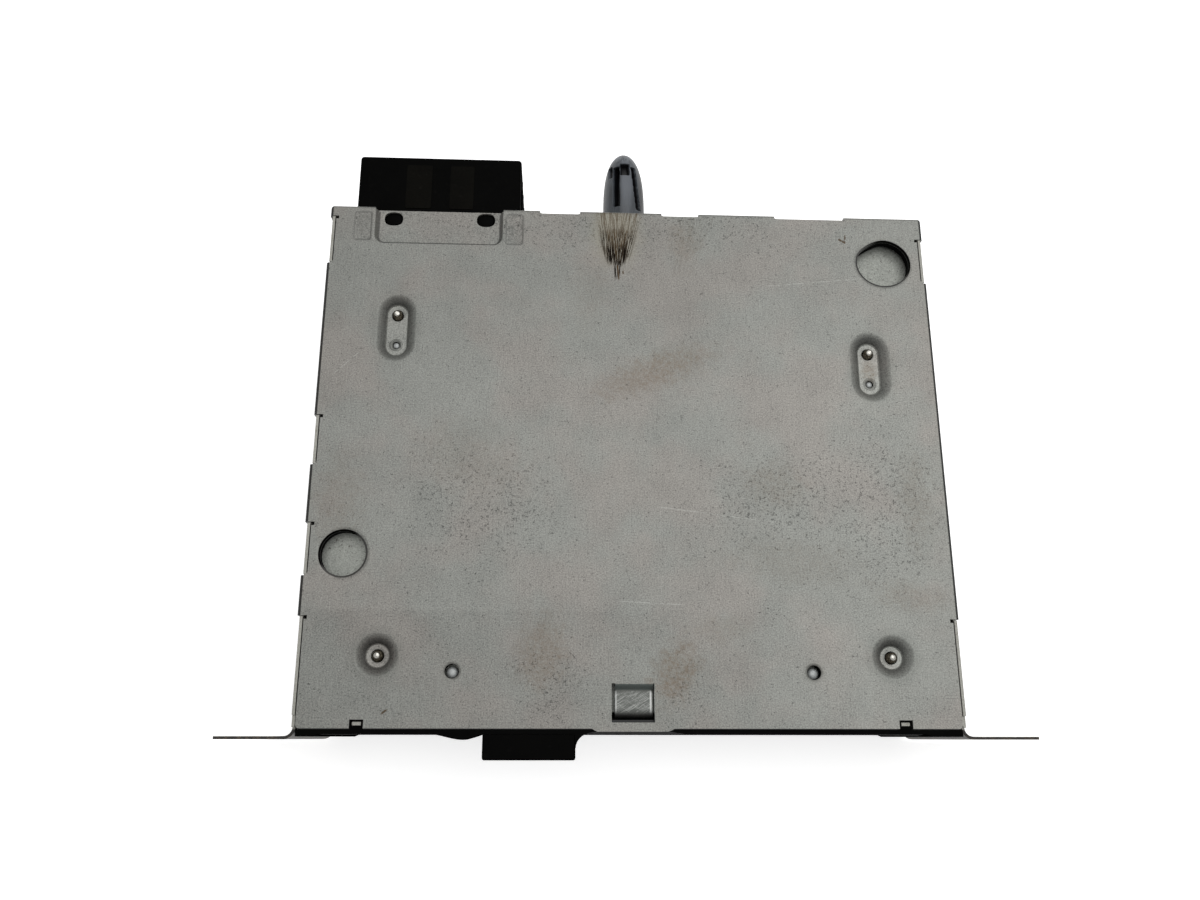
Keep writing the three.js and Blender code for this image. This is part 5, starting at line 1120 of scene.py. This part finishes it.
def bezel_face():
    """The moulded plate behind the lip, with the disc slot's funnel and four windows."""
    skin = Skin()
    windows = [rounded_box(x - 3.5, x + 3.5, 8.0, 12.0, 0.6) for x in WINDOWS]
    drawn_out(skin, inset_box(FACE_PLATE, 0, 1.2), (-1.2, 2.2), "y", [inset_box(SLOT, 0, 2.2), *windows])
    drawn_out(skin, inset_box(FACE, 0, 2.0), (-1.5, -1.1), "y", [inset_box(MOUTH, 0, MOUTH_RADIUS), *windows])
    lofted(skin, [lift(inset_box(MOUTH, s, MOUTH_RADIUS - s * 0.4), y, "y") for s, y in FUNNEL])
    skin.piece("bezel_face", "face_black", "casing_black", bevel=0.15)


def bezel():
    """The lip and its end feet, and a hook and a small tongue in each notch of the cover."""
    skin = Skin()
    drawn_out(skin, lip_outline(), LIP_SPAN)
    for side in (-1, 1):
        drawn_out(skin, np.array(FOOT) * [side, 1], FOOT_SPAN)
    for middle in NOTCHES:
        drawn_out(skin, np.array(HOOK) + [middle, 0], (49.5, 51.6))
        drawn_out(skin, rounded_box(middle - 1.25, middle + 1.25, -0.4, 0.75, 0.1), (49.5, 51.5))
    skin.piece("bezel_moulding", "casing_black", "casing_black", "front_bezel", bevel=0.15)


def hook_plates():
    """The bright strips that show inside the two bezel hooks."""
    skin = Skin()
    for middle in NOTCHES:
        drawn_out(skin, rounded_box(middle - 1.2, middle + 1.2, 0.7, 1.65, 0.15), (49.6, 51.3))
    skin.piece("hook_plates", "chassis_steel", "chassis_steel", bevel=0.1)


bezel_face()
bezel()
hook_plates()


# Connectors: boxes as two sides across and two in height, rims as places along Y with the inset there

FRONT_BOX = (-39.25, -15.15, 42.3, 51.7)
FRONT_RIM = [(-1.5, 0), (-7.3, 0), (-7.6, 0.08), (-7.85, 0.3), (-7.9, 0.6), (-7.8, 0.95), (-7.4, 1.1)]
FRONT_KEYS = (-34.2, -20.3)
FRONT_BAR = (-31.3, -23.3, 41.9, 42.5)
HARNESS_BOX = (-81.9, -32.9, 9.6, 49.2)
HARNESS_RIM = [(135.4, 0), (167.6, 0), (168.1, 0.1), (168.4, 0.35), (168.5, 0.8), (168.3, 1.5), (167.8, 1.8)]
HARNESS_RIBS = (16, 24, 32, 40)
HARNESS_BAR = (-62.5, -51.2, 45.4, 47.6)
CATCH_DOME = [(1, 48.9), (1, 49.7), (0.9, 49.95), (0.6, 50.08), (0.25, 50.12)]
PANELS = [(-67.6, -59.9), (-54.4, -47.2)]


def open_housing(skin, box, wall, rim, floor, radius):
    """A box with rounded edges and one open end: its outline runs along Y, in over the rim and back."""
    loops = [lift(inset_box(box, inset, max(radius - inset * 0.5, 0.15)), y, "y")
             for y, inset in [*rim, (floor, wall)]]
    lofted(skin, loops)
    fill(skin, loops[0][:, [0, 2]], (), rim[0][0], "y")
    fill(skin, loops[-1][:, [0, 2]], (), floor, "y")


def front_plug():
    """The front connector's housing with two keys on its top and a latch bar on its underside."""
    skin = Skin()
    open_housing(skin, FRONT_BOX, 1.1, FRONT_RIM, -2.6, 0.6)
    for x in FRONT_KEYS:
        drawn_out(skin, rounded_box(x - 0.8, x + 0.8, 49.4, 50.7, 0.2), (-6.6, -2.5), "y")
    drawn_out(skin, inset_box(FRONT_BAR, 0, 0.2), (-6.4, -2.0), "y")
    skin.piece("front_plug_housing", "casing_black", "casing_black", "front_connector", bevel=0.12)


def harness_plug():
    """The harness connector's housing with ribs, a latch bar and catch domes, and the panels on its top."""
    skin = Skin()
    open_housing(skin, HARNESS_BOX, 1.8, HARNESS_RIM, 148.4, 0.9)
    for z in HARNESS_RIBS:
        for x in (-81.75, -33.05):
            drawn_out(skin, rounded_box(x - 0.35, x + 0.35, z - 0.7, z + 0.7, 0.25), (150.5, 166.0), "y")
    drawn_out(skin, inset_box(HARNESS_BAR, 0, 0.4), (149.0, 164.5), "y")
    for centre in CATCHES:
        rings = [lift(rounded_oval(centre, 2.45 * share, 1.95 * share), z) for share, z in CATCH_DOME]
        lofted(skin, rings)
        for ring in (rings[-1], rings[0]):
            fill(skin, ring[:, :2], (), ring[0, 2])
    skin.piece("harness_housing", "casing_black", "casing_black", "harness_connector", bevel=0.15)
    panels = Skin()
    for x0, x1 in PANELS:
        drawn_out(panels, rounded_box(x0, x1, 151.0, 165.6, 0.5), (49.0, 49.4))
    panels.piece("harness_panels", "panel_black", "casing_black", bevel=0.12)


front_plug()
harness_plug()


# Locating peg; slots as centre, half width, start, end and depth

PEG_ROOT = np.linspace(149.2, 150.0, 4)
PEG_LENGTH = np.linspace(150.3, 184.0, 150)
PEG_TIP = [184.3, 184.6, 184.85, 185.05, 185.16, 185.19]
PEG_COLLAR = (149.5, 6.45)
PEG_SLOTS = [(-2.65, 0.9, 163.2, 178.2, 3.2), (0.15, 1.5, 174.8, 179.3, 2.2), (-4.5, 0.55, 174.4, 179.0, 1.3)]
RIGHT_SLOT = (0.68, 162.6, 178.2, 2.6)
SLOT_EDGE = 0.22


def peg():
    """A bullet on the rear wall: its radius follows an ogive, and slots are sunk along its top."""
    along = np.concatenate([PEG_ROOT, PEG_LENGTH, PEG_TIP])
    angle = np.arange(200) / 200 * TURN
    nose = np.clip((along - PEG_SHOULDER) / PEG_NOSE, 0, 1)
    radius = np.where(along < PEG_COLLAR[0], PEG_COLLAR[1], PEG_RADIUS * np.sqrt(1 - nose ** PEG_OGIVE))
    y, turn = np.meshgrid(along, angle, indexing="ij")
    reach = np.repeat(radius[:, None], len(angle), axis=1)
    x = reach * np.sin(turn)

    def sunk(centre, half, start, end, depth):
        """How far a slot sinks: full depth within its half width and length, with steep sides."""
        side = np.clip((half - np.abs(x - centre)) / SLOT_EDGE + 0.5, 0, 1)
        ends = np.clip((y - start) / SLOT_EDGE + 0.5, 0, 1) * np.clip((end - y) / SLOT_EDGE + 0.5, 0, 1)
        return depth * side * ends * (np.cos(turn) > 0)

    bow = 4.5 - 0.105 * np.clip(y - 162.0, 0, 16)
    depth = np.maximum.reduce([sunk(bow, *RIGHT_SLOT), *(sunk(*slot) for slot in PEG_SLOTS)])
    reach = np.maximum(reach - depth, 0.4)
    skin = Skin()
    rows = np.stack([reach * np.sin(turn), y, PEG_LEVEL + reach * np.cos(turn)], axis=2)
    lofted(skin, rows)
    for end in (0, -1):
        fill(skin, rows[end][:, [0, 2]], (), along[end], "y")
    drawn_out(skin, oblong((0, PEG_LEVEL), 2.0, 0, 32), (142.4, 149.3), "y")
    skin.piece("peg_bullet", "peg_grey", "peg_grey", "rear_peg", sharp=50.0)


peg()


# Screws of the mechanism, whose tips stand in the recesses

THREAD_PITCH = 0.55
THREAD_CREST = 1.32
THREAD_ROOT = 1.0
TIP_RADIUS = 0.62
TIP_LENGTH = 0.8
HEAD_HEIGHT = 1.6
HEAD = [(0, 1.2), (0.12, 1.9), (0.5, 2.45), (1.0, 2.7), (1.5, 2.75), (HEAD_HEIGHT, 2.6), (HEAD_HEIGHT, 1.3)]
CROSS = (1.1, 0.25)
CROSS_DEPTH = 0.7


def threaded_screw(name):
    """A screw pointing up: a domed head, then a thread whose radius is a triangle wave of height and turn."""
    low, high = node_place(name)
    x, y, _ = (low + high) / 2
    levels = np.arange(low[2] + HEAD_HEIGHT, high[2], THREAD_PITCH / 8)
    angle = np.arange(40) / 40 * TURN
    z, turn = np.meshgrid(levels, angle, indexing="ij")
    wave = np.abs(((z / THREAD_PITCH - turn / TURN) % 1) - 0.5) * 2
    radius = THREAD_ROOT + (THREAD_CREST - THREAD_ROOT) * np.clip(wave * 1.5 - 0.25, 0, 1)
    tip = np.clip((high[2] - z) / TIP_LENGTH, 0, 1)
    radius = np.minimum(radius, TIP_RADIUS + (THREAD_CREST - TIP_RADIUS) * tip)
    skin = Skin()
    rows = np.stack([x + radius * np.cos(turn), y + radius * np.sin(turn), z], axis=2)
    lofted(skin, rows)
    fill(skin, rows[-1][:, :2], (), levels[-1])
    spun(skin, np.array(HEAD) + [low[2], 0], (x, y), 40)
    a, b = CROSS
    arms = np.array([(-a, -b), (-b, -b), (-b, -a), (b, -a), (b, -b), (a, -b)])
    cross = np.concatenate([arms, -arms]) + [x, y]
    fill(skin, oblong((x, y), HEAD[0][1], 0, 40), [cross], low[2])
    lofted(skin, [lift(cross, low[2]), lift(cross, low[2] + CROSS_DEPTH)])
    fill(skin, cross, (), low[2] + CROSS_DEPTH)
    skin.piece(name + "_turned", "screw_tip", "screw_steel", name, sharp=60.0)


for corner in ("front_left", "front_right", "rear_left", "rear_right"):
    threaded_screw("mech_screw_" + corner)


# Finishes of the CAD nodes that stay

FINISHES = {
    "under_steel": ["bottom_cover"],
    "chassis_steel": ["chassis_frame"],
    "carrier_steel": ["mech_frame"],
    "inner_steel": ["amplifier_clip", "mech_tray", "deck_plate", "clamp_arm", "roller_arm", "cam_slide"],
    "screw_steel": ["peg_nut", "board_screw_1", "board_screw_2", "board_screw_3", "board_screw_4",
                    "guide_rod_side", "guide_rod_main", "clamp_pin", "roller_shaft"],
    "motor_steel": ["spindle_motor", "sled_motor", "loading_motor"],
    "sink_aluminium": ["heat_sink"],
    "mech_white": ["ribbon_socket", "ribbon_cable", "feeler_lever_left", "feeler_lever_right", "clamper",
                   "roller_gear", "idler_gear", "worm_wheel"],
    "mech_black": ["disc_guide", "turntable", "pickup_sled", "lens_holder"],
    "chip_black": ["processor_chip", "amplifier_chip"],
    "board_green": ["main_board"],
    "contact_pins": ["front_contacts", "harness_contacts"],
    "contact_brass": ["lead_screw", "worm"],
    "rubber_black": ["damper_1", "damper_2", "damper_3", "damper_4", "roller_rubber"],
    "felt_black": ["slot_felt_lower", "slot_felt_upper"],
    "capacitor_sleeve": ["capacitor_1", "capacitor_2"],
    "lens_glass": ["objective_lens"],
}
CASING_EDGE = 0.12
INNER_EDGE = 0.08
WELD_REACH = 0.000005


def finish_node(name, finish):
    """A CAD node as it is, with its material and with its edges rounded."""
    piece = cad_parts[name]
    piece.data.materials.clear()
    piece.data.materials.append(MATERIALS[finish])
    weld = piece.modifiers.new("weld", "WELD")
    weld.merge_threshold = WELD_REACH
    rounded_edges(piece, CASING_EDGE if name in ("chassis_frame", "bottom_cover") else INNER_EDGE)
    flat_first(piece)


for finish, names in FINISHES.items():
    for name in names:
        finish_node(name, finish)


# Floor, light and camera

FLOOR_HALF = 6.0
FLOOR_DROP = 0.00002
FLOOR_OVERLAP = 0.0004
LAMP_PLACE = (0.2, 0.3, 1.2)
LAMP_AIM = (0, 0, 0.03)
LAMP_SIDE = 1.3
LAMP_POWER = 11.0
SKY_STRENGTH = 0.62
FLOOR_GLOW = 0.5
CAMERA_PLACE = (-0.0212, -0.0908, 0.3213)
CAMERA_TILT, CAMERA_YAW, CAMERA_ROLL = (math.radians(angle) for angle in (16.23, -9.03, -9.44))
SENSOR_WIDTH = 36
PHOTO_WIDTH = 1200
PHOTO_FOCAL = 1001


def floor():
    """A wide pale plane just under the object, open where the object hides it and clear from below."""
    low, high = (np.array(corner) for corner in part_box("bottom_cover"))
    x0, y0 = low[:2] + FLOOR_OVERLAP
    x1, y1 = high[:2] - FLOOR_OVERLAP
    far = FLOOR_HALF
    corners = [(-far, -far), (far, -far), (far, far), (-far, far), (x0, y0), (x1, y0), (x1, y1), (x0, y1)]
    faces = [(0, 1, 5, 4), (1, 2, 6, 5), (2, 3, 7, 6), (3, 0, 4, 7)]
    plane = bpy.data.meshes.new("floor")
    plane.from_pydata([(x, y, -FLOOR_DROP) for x, y in corners], [], faces)
    w = Finish("floor", roughness=0.9, Base_Color=(0.88, 0.88, 0.88, 1), Emission_Color=(1, 1, 1, 1))
    path = w.node("ShaderNodeLightPath")
    seen = w.most(path["Is Camera Ray"], path["Is Glossy Ray"], path["Is Transmission Ray"])
    w.feed(w.shader["Emission Strength"], seen * FLOOR_GLOW)
    w.feed(w.shader["Alpha"], 1.0 - w.node("ShaderNodeNewGeometry")["Backfacing"])
    plane.materials.append(w.material)
    linked("floor", plane)


def overhead_light():
    """One large soft lamp above the object, a little to the right and to the rear."""
    lamp = bpy.data.lights.new("overhead", "AREA")
    lamp.size = LAMP_SIDE
    lamp.energy = LAMP_POWER
    made = linked("overhead", lamp)
    made.location = LAMP_PLACE
    made.rotation_euler = (Vector(LAMP_AIM) - Vector(LAMP_PLACE)).to_track_quat("-Z", "Y").to_euler()


def white_sky():
    """A white world that lights the object at a plain level and shows as white to the camera."""
    world = bpy.data.worlds.new("studio")
    world.use_nodes = True
    w = Wiring(world.node_tree)
    backdrop = world.node_tree.nodes["Background"].inputs
    backdrop["Color"].default_value = (1, 1, 1, 1)
    w.feed(backdrop["Strength"], w.most(w.node("ShaderNodeLightPath")["Is Camera Ray"], SKY_STRENGTH))
    bpy.context.scene.world = world


def photograph_camera():
    """The camera fitted to the photograph: tilted about X, turned about Z, rolled about its line of sight."""
    spin = Matrix.Rotation(CAMERA_YAW, 3, "Z")
    ahead = spin @ Vector((0, math.sin(CAMERA_TILT), -math.cos(CAMERA_TILT)))
    up = spin @ Vector((0, math.cos(CAMERA_TILT), math.sin(CAMERA_TILT)))
    right = spin @ Vector((1, 0, 0))
    rolled_up = math.cos(CAMERA_ROLL) * up + math.sin(CAMERA_ROLL) * right
    rolled_right = math.cos(CAMERA_ROLL) * right - math.sin(CAMERA_ROLL) * up
    data = bpy.data.cameras.new("camera")
    data.sensor_width = SENSOR_WIDTH
    data.lens = SENSOR_WIDTH * PHOTO_FOCAL / PHOTO_WIDTH
    data.clip_start = 0.01
    camera = linked("camera", data)
    turn = Matrix((rolled_right, rolled_up, -ahead)).transposed().to_4x4()
    camera.matrix_world = Matrix.Translation(CAMERA_PLACE) @ turn
    bpy.context.scene.camera = camera


floor()
white_sky()
overhead_light()
photograph_camera()
bpy.context.scene.view_settings.view_transform = "Standard"
